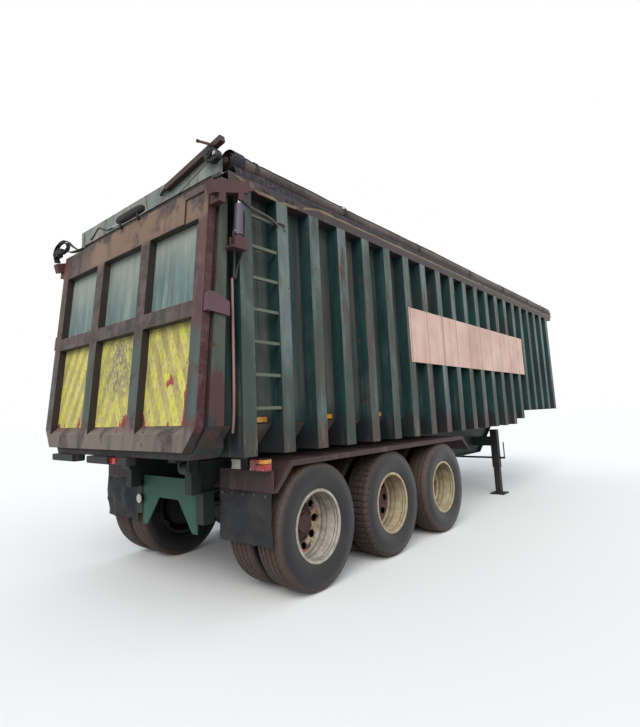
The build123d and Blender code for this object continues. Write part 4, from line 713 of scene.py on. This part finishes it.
def rod_shape(shape, start, end, radius, sides=12, end_radius=None):
    """Adds a closed rod or cone between two points to a bmesh."""
    direction = (end - start).normalized()
    u = direction.cross(Vector((0, 0, 1)))
    if u.length < 0.01:
        u = direction.cross(Vector((1, 0, 0)))
    u.normalize()
    v = direction.cross(u)
    rings = [[shape.verts.new(place) for place in circle(centre, u, v, r, sides)]
             for centre, r in ((start, radius), (end, radius if end_radius is None else end_radius))]
    points = rings[0] + rings[1]
    for face in skin(2, sides, around=True):
        shape.faces.new([points[i] for i in face])
    shape.faces.new(rings[0])
    shape.faces.new(rings[1][::-1])


def bolt_shape(shape, centre, direction, radius, height):
    """Adds a hexagon head on its washer, standing on centre."""
    direction = Vector(direction).normalized()
    washer, head = centre + direction * height * 0.25, centre + direction * height
    rod_shape(shape, centre, washer, radius * 1.35, 16)
    rod_shape(shape, washer, head, radius, 6, radius * 0.94)
    rod_shape(shape, head, centre + direction * height * 1.35, radius * 0.55, 10)


def plate_shape(shape, outline, front_x, back_x):
    """Adds a plate that stands across the trailer; its outline is in y and z."""
    front, back = ([shape.verts.new(at(x, y, z)) for y, z in outline] for x in (front_x, back_x))
    shape.faces.new(front)
    shape.faces.new(back[::-1])
    for i in range(len(outline)):
        j = (i + 1) % len(outline)
        shape.faces.new((front[i], back[i], back[j], front[j]))


def curve_along(name, points, radius):
    """A smooth round curve through control points."""
    curve = bpy.data.curves.new(name, "CURVE")
    curve.dimensions = "3D"
    curve.bevel_depth = radius
    curve.bevel_resolution = 3
    curve.use_fill_caps = True
    spline = curve.splines.new("NURBS")
    spline.points.add(len(points) - 1)
    for point, place in zip(spline.points, points):
        point.co = (*place, 1)
    spline.order_u = 3
    spline.use_endpoint_u = True
    spline.resolution_u = 6
    return new_object(name, curve)


def hose(name, points, radius, material, body):
    """A pipe, hose or rope held along its route."""
    piece = curve_along(name, points, radius)
    dress(piece, material)
    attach(piece, body)


def ribbon(name, points, width, thick, body, across):
    """A flat strap along a smooth line; across is the direction of its width."""
    curve = curve_along(name, points, 0)
    line = bpy.data.meshes.new_from_object(curve.evaluated_get(bpy.context.evaluated_depsgraph_get()))
    places = [v.co.copy() for v in line.vertices]
    bpy.data.objects.remove(curve)
    across = Vector(across).normalized()
    verts = []
    for i, place in enumerate(places):
        ahead = places[min(i + 1, len(places) - 1)] - places[max(i - 1, 0)]
        flat = (across - ahead.normalized() * across.dot(ahead.normalized())).normalized()
        up = flat.cross(ahead).normalized()
        for a, b in ((-1, -1), (1, -1), (1, 1), (-1, 1)):
            verts.append(place + flat * (a * width / 2) + up * (b * thick / 2))
    last = (len(places) - 1) * 4
    faces = skin(len(places), 4, around=True) + [(3, 2, 1, 0), tuple(range(last, last + 4))]
    new_piece(name, verts, faces, "strap", body, smooth_below=50)


def wavy(x, y, z=0.0, seed=0.0):
    """Smooth repeatable noise from -1 to 1."""
    return noise.noise(Vector((x + seed, y - seed, z + 2 * seed)))


# ---------------------------------------------------------------- tyres and wheel nuts
TYRE_RADIUS = 0.520
TYRE_HALF = 0.140
TREAD_HALF = 0.108
GROOVES = (-0.072, -0.026, 0.026, 0.072)
GROOVE_TOP, GROOVE_FOOT, GROOVE_DEPTH = 0.0055, 0.003, 0.012
CROWN_DROP = 0.007
BLOCK_CUT = 0.013
# How far the grooves swing and how deep the shoulder is cut, for the rib tread and the block tread.
ZIGZAG = {False: 0.003, True: 0.006}
SHOULDER_CUT = {False: 0.005, True: 0.020}
SHOULDER_Y, SHOULDER_RADIUS = 0.112, 0.49
PITCHES = 52
STEPS = 4
# A tyre's outer wall from bead to tread, and its inner wall, as distances off its middle and radii.
OUTER_WALL = [(0.098, 0.287), (0.109, 0.2995), (0.117, 0.306), (0.121, 0.318), (0.127, 0.331),
              (0.1275, 0.336), (0.133, 0.352), (0.138, 0.378), (0.14, 0.404), (0.1385, 0.43), (0.135, 0.452),
              (0.1335, 0.455), (0.132, 0.468), (0.128, 0.484), (0.1225, 0.497), (0.116, 0.506),
              (TREAD_HALF, 0.5115)]
INNER_WALL = [(0.09, 0.3), (0.112, 0.36), (0.116, 0.42), (0.1, 0.475), (0.05, 0.488),
              (-0.05, 0.488), (-0.1, 0.475), (-0.116, 0.42), (-0.112, 0.36), (-0.09, 0.3)]
NUTS = 10
NUT_CIRCLE = 0.1675
NUT_FACE = 0.961
NUT_RADIUS, NUT_HEIGHT = 0.0165, 0.026


def tyre_profile():
    """Points (y, radius, groove index or None, shoulder) from one bead over the tread to the other."""
    rows = [(-y, r, None, y > SHOULDER_Y and r > SHOULDER_RADIUS) for y, r in OUTER_WALL]
    for index, y in enumerate(GROOVES):
        crown = TYRE_RADIUS - CROWN_DROP * (y / TREAD_HALF) ** 2
        rows += [(y - GROOVE_TOP, crown, index, False), (y - GROOVE_FOOT, crown - GROOVE_DEPTH, index, False),
                 (y + GROOVE_FOOT, crown - GROOVE_DEPTH, index, False), (y + GROOVE_TOP, crown, index, False)]
    return rows + [(-y, r, None, shoulder) for y, r, _, shoulder in reversed(rows[:len(OUTER_WALL)])]


def tyre_mesh(name, blocks):
    """A tyre about its own centre; blocks cuts the ribs across as well, for the coarse tread."""
    rows = tyre_profile()
    count = PITCHES * STEPS
    verts = []
    for step in range(count):
        angle = 2 * pi * step / count
        phase = step % STEPS
        zigzag = (0, 1, 0, -1)[phase] * ZIGZAG[blocks]
        for y, r, groove, shoulder in rows:
            if groove is not None:
                y += zigzag * (1 if groove % 2 else -1)
                if blocks and phase == 0:
                    r -= BLOCK_CUT
            elif shoulder and phase == 0:
                r -= SHOULDER_CUT[blocks]
            verts.append((r * cos(angle), y, r * sin(angle)))
        verts += [(r * cos(angle), y, r * sin(angle)) for y, r in INNER_WALL]
    mesh = bpy.data.meshes.new(name)
    mesh.from_pydata(verts, [], skin(count, len(rows) + len(INNER_WALL), around=True, closed=True))
    smooth(mesh, 38)
    mesh.materials.append(MATERIALS["tyre_block" if blocks else "tyre"])
    return mesh


def make_tyres():
    meshes = {False: tyre_mesh("rib_tyre", False), True: tyre_mesh("block_tyre", True)}
    for row in ROWS:
        for side, sign in SIDES.items():
            low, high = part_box(f"tyres_{row}_{side}")
            inner_y = min(abs(low.y), abs(high.y)) + TYRE_HALF
            outer_y = max(abs(low.y), abs(high.y)) - TYRE_HALF
            for place, y in (("inner", inner_y), ("outer", outer_y)):
                blocks = row == "middle" and place == "outer"
                piece = new_object(f"tyre_{row}_{side}_{place}", meshes[blocks])
                turned = 0.4 * ROWS.index(row) + (0.2 if place == "inner" else 0)
                centre = Vector(((low.x + high.x) / 2, sign * y, (low.z + high.z) / 2))
                piece.matrix_world = Matrix.Translation(centre) @ Euler((0, turned, 0)).to_matrix().to_4x4()
                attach(piece, f"wheel_{row}_{side}")
                if place == "outer":
                    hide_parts(f"tyres_{row}_{side}")


def make_wheel_nuts():
    for row in ROWS:
        axle = axle_centre(row)
        for side, sign in SIDES.items():
            places = circle(Vector((axle.x, sign * NUT_FACE, axle.z)), Vector((1, 0, 0)), Vector((0, 0, 1)),
                            NUT_CIRCLE, 2 * NUTS)[1::2]
            nuts = [(bolt_shape, place, (0, sign, 0), NUT_RADIUS, NUT_HEIGHT) for place in places]
            build(f"wheel_nuts_{row}_{side}", nuts, "rust_nut", f"wheel_{row}_{side}")


# ---------------------------------------------------------------- canvas cover
ROLL_TURNS = 7.4
ROLL_CORE = 0.027
ROLL_MARGIN = 0.008
ROLL_TIES = (0.66, 1.9, 3.48, 5.1, 6.56, 7.9, 9.0)
CANVAS_SPACING = 0.06
TIE_WIDTH, TIE_THICK = 0.03, 0.003
APRON_START, APRON_END = 0.40, 9.5
APRON_FOOT = 3.325
APRON_TOP_ANGLE = radians(-38)
APRON_OUTERMOST = -1.256
# The hem's cross section round each point of the apron's foot, in y and z.
HEM = ((-0.003, 0.013), (-0.006, 0), (-0.003, -0.013), (0.004, -0.013), (0.004, 0.013))


def roll_point(turn, x, axis_y, axis_z, reach):
    """A point of the rolled canvas: turn is how many turns out from the core it lies."""
    share = turn / ROLL_TURNS
    angle = 2 * pi * turn
    lumps = 0.006 * wavy(x * 1.7, cos(angle) * 0.8, sin(angle) * 0.8, 3.0)
    folds = 0.0022 * wavy(x * 9.0, cos(angle) * 2.2, sin(angle) * 2.2, 8.0)
    pinch = sum(exp(-((x - tie) / 0.05) ** 2) for tie in ROLL_TIES)
    radius = ROLL_CORE + (reach - ROLL_CORE - ROLL_MARGIN) * share + share * (lumps + folds)
    radius -= 0.007 * share * min(1, pinch)
    sag = 0.004 * sin(x * 1.9)
    return at(x, axis_y + radius * cos(angle), axis_z + radius * sin(angle) + sag * share)


def strap_ring(shape, x, axis_y, axis_z, radius):
    """Adds a flat strap closed round the roll to a bmesh."""
    sides = 28
    edge, outer = TIE_WIDTH / 2, radius + TIE_THICK
    points = []
    for dx, r in ((-edge, radius), (-edge, outer), (edge, outer), (edge, radius)):
        ring = circle(at(x + dx, axis_y, axis_z), Vector((0, 1, 0)), Vector((0, 0, 1)), r, sides)
        points += [shape.verts.new(place) for place in ring]
    for face in skin(4, sides, around=True, closed=True):
        shape.faces.new([points[i] for i in face])


def make_canvas_roll(axis_y, axis_z, reach):
    low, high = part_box("canvas_roll")
    start, end = low.x - REAR, high.x - REAR
    columns = round((end - start) / CANVAS_SPACING)
    rows = round(ROLL_TURNS * 30)
    verts = []
    for i in range(columns + 1):
        uneven = 0.012 * sin(i * 0.9)
        for j in range(rows + 1):
            turn = ROLL_TURNS * j / rows
            x = start + (end - start) * i / columns
            if i in (0, columns):
                x += (1 if i == 0 else -1) * (0.012 + 0.012 * sin(turn * 2.1 + uneven))
            verts.append(roll_point(turn, x, axis_y, axis_z, reach))
    faces = skin(columns + 1, rows + 1)
    piece = new_piece("canvas_cover", verts, faces, "canvas", "tipping_body", smooth_below=60)
    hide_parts("canvas_roll")
    width = 2 * pi * (ROLL_CORE + reach - ROLL_MARGIN) / 2 * ROLL_TURNS
    build("canvas_ties", [(strap_ring, tie, axis_y, axis_z, reach - 0.0045) for tie in ROLL_TIES],
          "strap", "tipping_body", smooth_below=50)


def make_canvas_apron(axis_y, axis_z, reach):
    """The canvas between the roll and the side: a sheet that hangs from the roll and ends in a tan hem. Its
    near-black cloth is painted shade under the roll.
    """
    columns, rows = 150, 10
    top_y = axis_y - (reach - 0.004) * cos(APRON_TOP_ANGLE)
    top_z = axis_z + (reach - 0.004) * sin(APRON_TOP_ANGLE)
    verts, hem = [], []
    for i in range(columns + 1):
        x = APRON_START + (APRON_END - APRON_START) * i / columns
        foot = APRON_FOOT
        if x < 1.5:
            near = min(1, (1.5 - x) / 0.5)
            foot -= 0.085 * near * near * (3 - 2 * near)
        if x < 0.62:
            foot += 0.06 * (0.62 - x) / 0.22
        outward = -1.247 if x < 1.6 else -1.243
        for j in range(rows + 1):
            t = j / rows
            ripple = 0.009 * t * wavy(x * 6, t * 2, 0, 5.0) + 0.004 * t * sin(x * 23)
            y = top_y + (outward - top_y) * min(1, t * 1.4) ** 0.7 + ripple
            verts.append(at(x, max(y, APRON_OUTERMOST), top_z + (foot - top_z) * t))
        hem += [verts[-1] + Vector((0, y, z)) for y, z in HEM]
    faces = skin(columns + 1, rows + 1, flip=True)
    piece = new_piece("canvas_apron", verts, faces, "canvas_painted_shade", "tipping_body", smooth_below=70)
    faces = skin(columns + 1, 5, around=True) + [(4, 3, 2, 1, 0), tuple(columns * 5 + k for k in range(5))]
    hem_piece = new_piece("canvas_hem", hem, faces, "hem", "tipping_body", smooth_below=40)


def make_roll_end(axis_y, axis_z):
    """The dark wrap on the roll's rear end, and the rope tied along the side."""
    verts = []
    columns, sides = 8, 36
    for i in range(columns + 1):
        x = 0.390 + 0.115 * i / columns
        for j in range(sides):
            a = 2 * pi * j / sides
            r = 0.0915 + 0.0022 * wavy(x * 30, cos(a) * 2, sin(a) * 2, 3.0)
            verts.append(at(x, axis_y + r * cos(a), axis_z + r * sin(a)))
    faces = skin(columns + 1, sides, around=True)
    new_piece("roll_wrap", verts, faces, "wrap", "tipping_body", smooth_below=60)
    hose("side_rope", [at(0.372, -1.251, 3.108), at(0.44, -1.254, 3.112), at(0.50, -1.254, 3.088),
                       at(0.60, -1.253, 3.072), at(0.72, -1.253, 3.062), at(0.838, -1.253, 3.034),
                       at(0.862, -1.254, 3.00)], 0.011, "rope", "tipping_body")
    hose("side_rope_end", [at(0.838, -1.256, 3.036), at(0.90, -1.262, 3.044), at(0.95, -1.262, 3.02),
                           at(0.93, -1.262, 2.985)], 0.008, "rope", "tipping_body")


# ---------------------------------------------------------------- mudflaps
FLAP_INNER = 0.640
FLAP_LAP = 0.040
FLAP_SHORT = 0.03
FLAP_THICK = 0.0045
FLAP_BOLTS = 5
FLAP_BOLT_INSET, FLAP_BOLT_DROP, FLAP_BOLT_SIZE = 0.05, 0.025, 0.010


def make_mudflaps():
    low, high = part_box("mudflaps")
    width, length = high.y - FLAP_INNER, high.z - low.z - FLAP_LAP - FLAP_SHORT
    columns, rows = 36, 26
    size = (columns + 1) * (rows + 1)
    rim = [i * (rows + 1) for i in range(columns + 1)]
    rim += [columns * (rows + 1) + j for j in range(1, rows + 1)]
    rim += [i * (rows + 1) + rows for i in range(columns - 1, -1, -1)]
    rim += range(rows - 1, 0, -1)
    faces = skin(columns + 1, rows + 1, flip=True) + skin(columns + 1, rows + 1, start=size)
    faces += [(rim[k], rim[k - 1], size + rim[k - 1], size + rim[k]) for k in range(len(rim))]
    for side, sign in SIDES.items():
        verts = []
        for thick in (0.0, FLAP_THICK):
            for i in range(columns + 1):
                u = i / columns
                ragged = 0.022 * wavy(u * 7, sign * 3.0, 0, 2.0) + 0.008 * wavy(u * 23, 1.0, 0, 4.0)
                for j in range(rows + 1):
                    t = j / rows
                    z = high.z - FLAP_LAP - (length + ragged) * t
                    y = FLAP_INNER + width * u
                    y += 0.014 * t * wavy(t * 3.1, sign * 2.0 + u, 0, 6.0) + 0.012 * t * (0.5 - u)
                    crumple = 0.030 * wavy(u * 2.3 + sign, t * 1.9, 0, 1.0) * t
                    crumple += 0.016 * wavy(u * 5.5, t * 4.6, sign, 9.0) * min(1, 2.5 * t)
                    crumple += 0.009 * wavy(u * 15 + t * 5, t * 9, sign, 13.0) * min(1, 5 * t) * (1 - 0.6 * t)
                    belly = -0.045 * sin(pi * u) * sin(pi * min(1, 1.15 * t)) ** 0.8
                    verts.append(at(low.x - REAR + 0.002 + crumple + belly + thick, sign * y, z))
        piece = new_piece(f"mudflap_{side}", verts, faces, "flap", "chassis", smooth_below=60)
        if side == "right":
            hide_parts("mudflaps")
        pitch = (width - 2 * FLAP_BOLT_INSET) / (FLAP_BOLTS - 1)
        places = [at(low.x - REAR - 0.004, sign * (FLAP_INNER + FLAP_BOLT_INSET + pitch * i),
                     high.z - FLAP_LAP - FLAP_BOLT_DROP) for i in range(FLAP_BOLTS)]
        bolts = [(bolt_shape, place, (-1, 0, 0), FLAP_BOLT_SIZE, FLAP_BOLT_SIZE) for place in places]
        build(f"mudflap_bolts_{side}", bolts, "steel", "chassis")


# ---------------------------------------------------------------- gate top: crank gear, sleeve and straps
SLEEVE_X, SLEEVE_Z = 0.150, 3.262
# The sleeve's stations from left to right: y, and half its width and height there.
SLEEVE_STATIONS = ((0.105, 0.020, 0.018), (0.085, 0.032, 0.030), (-0.02, 0.036, 0.035), (-0.18, 0.036, 0.036),
                   (-0.31, 0.034, 0.033), (-0.335, 0.024, 0.022))
ARM_STRAPS = (
    ((0.098, 1.300, 3.145), (0.085, 1.306, 3.20), (0.082, 1.30, 3.27), (0.095, 1.27, 3.325),
     (0.11, 1.22, 3.35), (0.12, 1.16, 3.345), (0.13, 1.11, 3.31), (0.13, 1.09, 3.27), (0.12, 1.12, 3.235),
     (0.11, 1.18, 3.222)),
    ((0.125, 1.305, 3.15), (0.108, 1.314, 3.20), (0.105, 1.31, 3.25), (0.115, 1.28, 3.285),
     (0.13, 1.225, 3.29), (0.145, 1.17, 3.262), (0.15, 1.13, 3.235), (0.165, 1.05, 3.216),
     (0.175, 0.95, 3.212), (0.185, 0.85, 3.21)),
    ((0.105, 1.318, 3.16), (0.095, 1.322, 3.225), (0.10, 1.312, 3.30), (0.112, 1.27, 3.352),
     (0.125, 1.20, 3.372), (0.135, 1.13, 3.352), (0.142, 1.07, 3.305), (0.15, 1.02, 3.26),
     (0.165, 0.96, 3.226)),
)


def make_crank_gear():
    """The ratchet head, its plain silver block and the cross pin on the winding crank."""
    outline = [(-1.01, 3.554), (-1.061, 3.566), (-1.13, 3.535), (-1.182, 3.49), (-1.199, 3.445),
               (-1.18, 3.42), (-1.107, 3.415), (-1.05, 3.44), (-1.021, 3.481)]
    build("crank_ratchet", [(plate_shape, outline, 0.318, 0.262)], "black_gear", "tipping_body", 40, 0.012, 3)
    build("crank_hub", [(rod_shape, at(0.246, -1.09, 3.495), at(0.264, -1.09, 3.495), 0.045, 24),
                        (rod_shape, at(0.238, -1.09, 3.495), at(0.25, -1.09, 3.495), 0.022, 16)],
          "black_gear", "tipping_body", 40)
    build("crank_block", [(box_shape, at(0.248, -1.176, 3.448), at(0.266, -1.150, 3.480))],
          "zinc", "tipping_body", bevel=0.004)
    build("crank_pin", [(rod_shape, at(0.262, -0.955, 3.655), at(0.262, -1.135, 3.545), 0.011),
                        (rod_shape, at(0.262, -0.950, 3.658), at(0.262, -0.965, 3.649), 0.014)],
          "rust_nut", "tipping_body", 40)
    build("crank_boot", [(rod_shape, at(0.30, -0.475, 3.452), at(0.302, -0.365, 3.408), 0.019, 14, 0.013)],
          "black_gear", "tipping_body", 40)


def make_sleeve():
    """The black cover that lies along the tailgate's top edge, and its two clips."""
    sides = 18
    verts = []
    for y, half_x, half_z in SLEEVE_STATIONS:
        for i in range(sides):
            a = 2 * pi * i / sides
            bulge = 1 + 0.06 * wavy(y * 9, cos(a) * 2, sin(a) * 2, 4.0)
            square = 1 / max(abs(cos(a)), abs(sin(a))) ** 0.45
            verts.append(at(SLEEVE_X + half_x * cos(a) * square * bulge, y,
                            SLEEVE_Z + half_z * sin(a) * square * bulge + 0.006 * wavy(y * 5, 0, 0, 2.0)))
    last = (len(SLEEVE_STATIONS) - 1) * sides
    faces = skin(len(SLEEVE_STATIONS), sides, around=True, flip=True)
    faces += [tuple(range(sides)), tuple(last + i for i in reversed(range(sides)))]
    piece = new_piece("gate_top_sleeve", verts, faces, "sleeve_rubber", "tailgate", smooth_below=50)
    subdivide = piece.modifiers.new("round", "SUBSURF")
    subdivide.levels = subdivide.render_levels = 1
    clips = []
    for y in (0.02, -0.27):
        clips += [(box_shape, at(0.138, y, 3.176), at(0.222, y + 0.028, 3.192)),
                  (box_shape, at(0.134, y, 3.176), at(0.146, y + 0.028, 3.240))]
    build("sleeve_clips", clips, "sleeve_rubber", "tailgate")


def make_gate_straps():
    """The strap with its silver ratchet along the header, and the bundle on the left arm."""
    ribbon("header_strap", [at(0.326, 0.50, 3.374), at(0.327, 0.60, 3.372), at(0.328, 0.72, 3.42),
                            at(0.328, 0.80, 3.468), at(0.328, 0.87, 3.44), at(0.327, 0.92, 3.395),
                            at(0.326, 0.99, 3.378)], 0.030, 0.003, "tipping_body", (1, 0, 0.3))
    build("header_rod", [(rod_shape, at(0.326, 0.27, 3.384), at(0.326, 0.52, 3.376), 0.010),
                         (rod_shape, at(0.316, 0.50, 3.378), at(0.334, 0.50, 3.378), 0.016, 14)],
          "zinc", "tipping_body", 40)
    for index, route in enumerate(ARM_STRAPS):
        points = [at(*place) for place in route]
        ribbon(f"arm_strap_{index + 1}", points, 0.042, 0.009, "tailgate", (1, 0.2, 0))
    build("arm_strap_buckle", [(box_shape, at(0.070, 1.225, 3.20), at(0.135, 1.322, 3.268)),
                               (box_shape, at(0.080, 1.175, 3.216), at(0.125, 1.24, 3.262)),
                               (box_shape, at(0.085, 1.25, 3.262), at(0.12, 1.31, 3.30)),
                               (rod_shape, at(0.060, 1.290, 3.235), at(0.14, 1.290, 3.235), 0.026, 14)],
          "black_gear", "tailgate", 30, 0.006)


# ---------------------------------------------------------------- gate rams' hoses and the post's pipe
RAM_Y = 1.30
# Each route's points: distance ahead of the rear edge, distance inward of the ram, and height.
RAM_HOSES = {
    "top": [(0.402, 0, 3.015), (0.425, 0.004, 3.012), (0.436, 0.006, 2.98), (0.434, 0.008, 2.86),
            (0.426, 0.012, 2.775)],
    "low": [(0.332, 0, 2.815), (0.318, 0, 2.81), (0.314, 0, 2.78), (0.322, 0, 2.74)],
}
POST_HOSES = {
    "top": [(0.426, 0.012, 2.775), (0.428, 0.02, 2.70), (0.42, 0.045, 2.63), (0.40, 0.062, 2.56),
            (0.385, 0.066, 2.47)],
    "low": [(0.322, 0, 2.74), (0.335, 0.015, 2.66), (0.36, 0.045, 2.58), (0.372, 0.066, 2.48)],
}
POST_PIPE = [(0.352, 0.064, 2.47), (0.352, 0.064, 1.9), (0.345, 0.064, 1.42), (0.36, 0.1, 1.33)]
HOSE_RADIUS, PIPE_RADIUS = 0.0085, 0.010


def make_ram_hoses():
    for side, sign in SIDES.items():
        def route(points):
            return [at(x, sign * (RAM_Y - inward), z) for x, inward, z in points]
        barrel = f"gate_ram_barrel_{side}"
        for end in ("top", "low"):
            hose(f"ram_hose_{end}_{side}", route(RAM_HOSES[end]), HOSE_RADIUS, "hose", barrel)
            hose(f"post_hose_{end}_{side}", route(POST_HOSES[end]), HOSE_RADIUS, "hose", "tipping_body")
        hose(f"post_pipe_{side}", route(POST_PIPE), PIPE_RADIUS, "pipe", "tipping_body")
        y = sign * RAM_Y
        build(f"ram_fittings_{side}", [(rod_shape, at(0.394, y, 3.015), at(0.414, y, 3.013), 0.0125, 10),
                                       (rod_shape, at(0.334, y, 2.815), at(0.322, y, 2.812), 0.0125, 10)],
              "zinc", barrel, 40)


# ---------------------------------------------------------------- lamps and reflectors
LAMP_RIM = 0.006
LENS_OUT, LENS_IN = 0.016, 0.01
LENS_ROUND_CORNER = 0.055
FIRST_RIB, RIB_PITCH, RIB_WIDTH = 0.420, 0.4275, 0.137
REFLECTOR_GAP, REFLECTOR_LENGTH = 0.065, 0.16
WORK_LAMP = (0.44, 0.70)


def make_lamps():
    low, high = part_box("tail_lamps")
    rear_x, foot, top = low.x - REAR, low.z + LAMP_RIM, high.z - LAMP_RIM
    seam, ledge = top - 0.034, top - 0.031
    for side, sign in SIDES.items():
        def box(start, end, inner, outer, floor, ceiling):
            """A box between two distances off the trailer's middle."""
            near, far = sorted((sign * inner, sign * outer))
            return box_shape, at(start, near, floor), at(end, far, ceiling)

        def panel(inner, outer, floor, ceiling, out=LENS_OUT, inward=LENS_IN):
            return box(rear_x - out, rear_x + inward, inner, outer, floor, ceiling)

        def wrap(floor, ceiling):
            return panel(1.2405, 1.2505, floor, ceiling, inward=LENS_ROUND_CORNER)

        # Each lens: its glass, its rounding and the steps in it, and its boxes.
        lenses = {
            "red_inner": ("red", 0.006, 3, [panel(1.086, 1.150, foot, top)]),
            "red_outer": ("red", 0.005, 2, [panel(1.153, 1.240, foot, seam), wrap(foot, seam)]),
            "amber": ("amber", 0.004, 2, [panel(1.180, 1.2405, ledge, top), wrap(ledge, top)]),
            "red_upper": ("red", 0.004, 3, [panel(1.153, 1.177, ledge, top)]),
            "white": ("white", 0.006, 3, [panel(0.872, 0.964, foot + 0.004, top - 0.004, out=0.012)]),
        }
        for name, (glass, bevel, segments, boxes) in lenses.items():
            build(f"lamp_{name}_{side}", boxes, f"{glass}_lens", "chassis", 35, bevel, segments)
        screws = [(0.880, foot + 0.012), (0.956, foot + 0.012), (0.880, top - 0.012), (0.956, top - 0.012),
                  (1.094, foot + 0.010), (1.232, foot + 0.010)]
        build(f"lamp_screws_{side}",
              [(rod_shape, at(rear_x - 0.019, sign * y, z), at(rear_x - 0.010, sign * y, z), 0.005, 10)
               for y, z in screws], "zinc", "chassis")
        for index in range(0, 11, 2):
            x = FIRST_RIB + RIB_PITCH * index + RIB_WIDTH + REFLECTOR_GAP
            end = x + REFLECTOR_LENGTH
            back = box(x - 0.006, end + 0.006, 1.119, 1.127, 1.389, 1.441)
            build(f"reflector_back_{side}_{index + 1}", [back], "black_gear", "tipping_body")
            glass = box(x, end, 1.125, 1.135, 1.394, 1.436)
            build(f"reflector_{side}_{index + 1}", [glass], "amber_lens", "tipping_body", 35, 0.003, 3)
    build("lamp_red_middle", [(box_shape, at(0.035, -0.125, 1.098), at(0.075, 0.025, 1.148))],
          "red_lens", "tipping_body", 35, 0.006, 3)
    build("lamp_red_middle_base", [(box_shape, at(0.075, -0.135, 1.09), at(0.105, 0.035, 1.156))],
          "black_gear", "tipping_body", 35, 0.006)


def make_work_lamp():
    """The round white lamp on the rear cross brace."""
    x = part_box("rear_cross_brace")[0].x - REAR
    bowl = rod_shape, at(x - 0.035, *WORK_LAMP), at(x, *WORK_LAMP), 0.050, 28, 0.036
    glass = rod_shape, at(x - 0.041, *WORK_LAMP), at(x - 0.034, *WORK_LAMP), 0.034, 28, 0.044
    build("work_lamp_bowl", [bowl], "black_gear", "chassis", 40)
    build("work_lamp_lens", [glass], "white_lens", "chassis", 40)


make_tyres()
make_wheel_nuts()
roll_low, roll_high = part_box("canvas_roll")
ROLL = (roll_low.y + roll_high.y) / 2, (roll_low.z + roll_high.z) / 2, (roll_high.z - roll_low.z) / 2
make_canvas_roll(*ROLL)
make_canvas_apron(*ROLL)
make_roll_end(*ROLL[:2])
make_mudflaps()
make_crank_gear()
make_sleeve()
make_gate_straps()
make_ram_hoses()
make_lamps()
make_work_lamp()
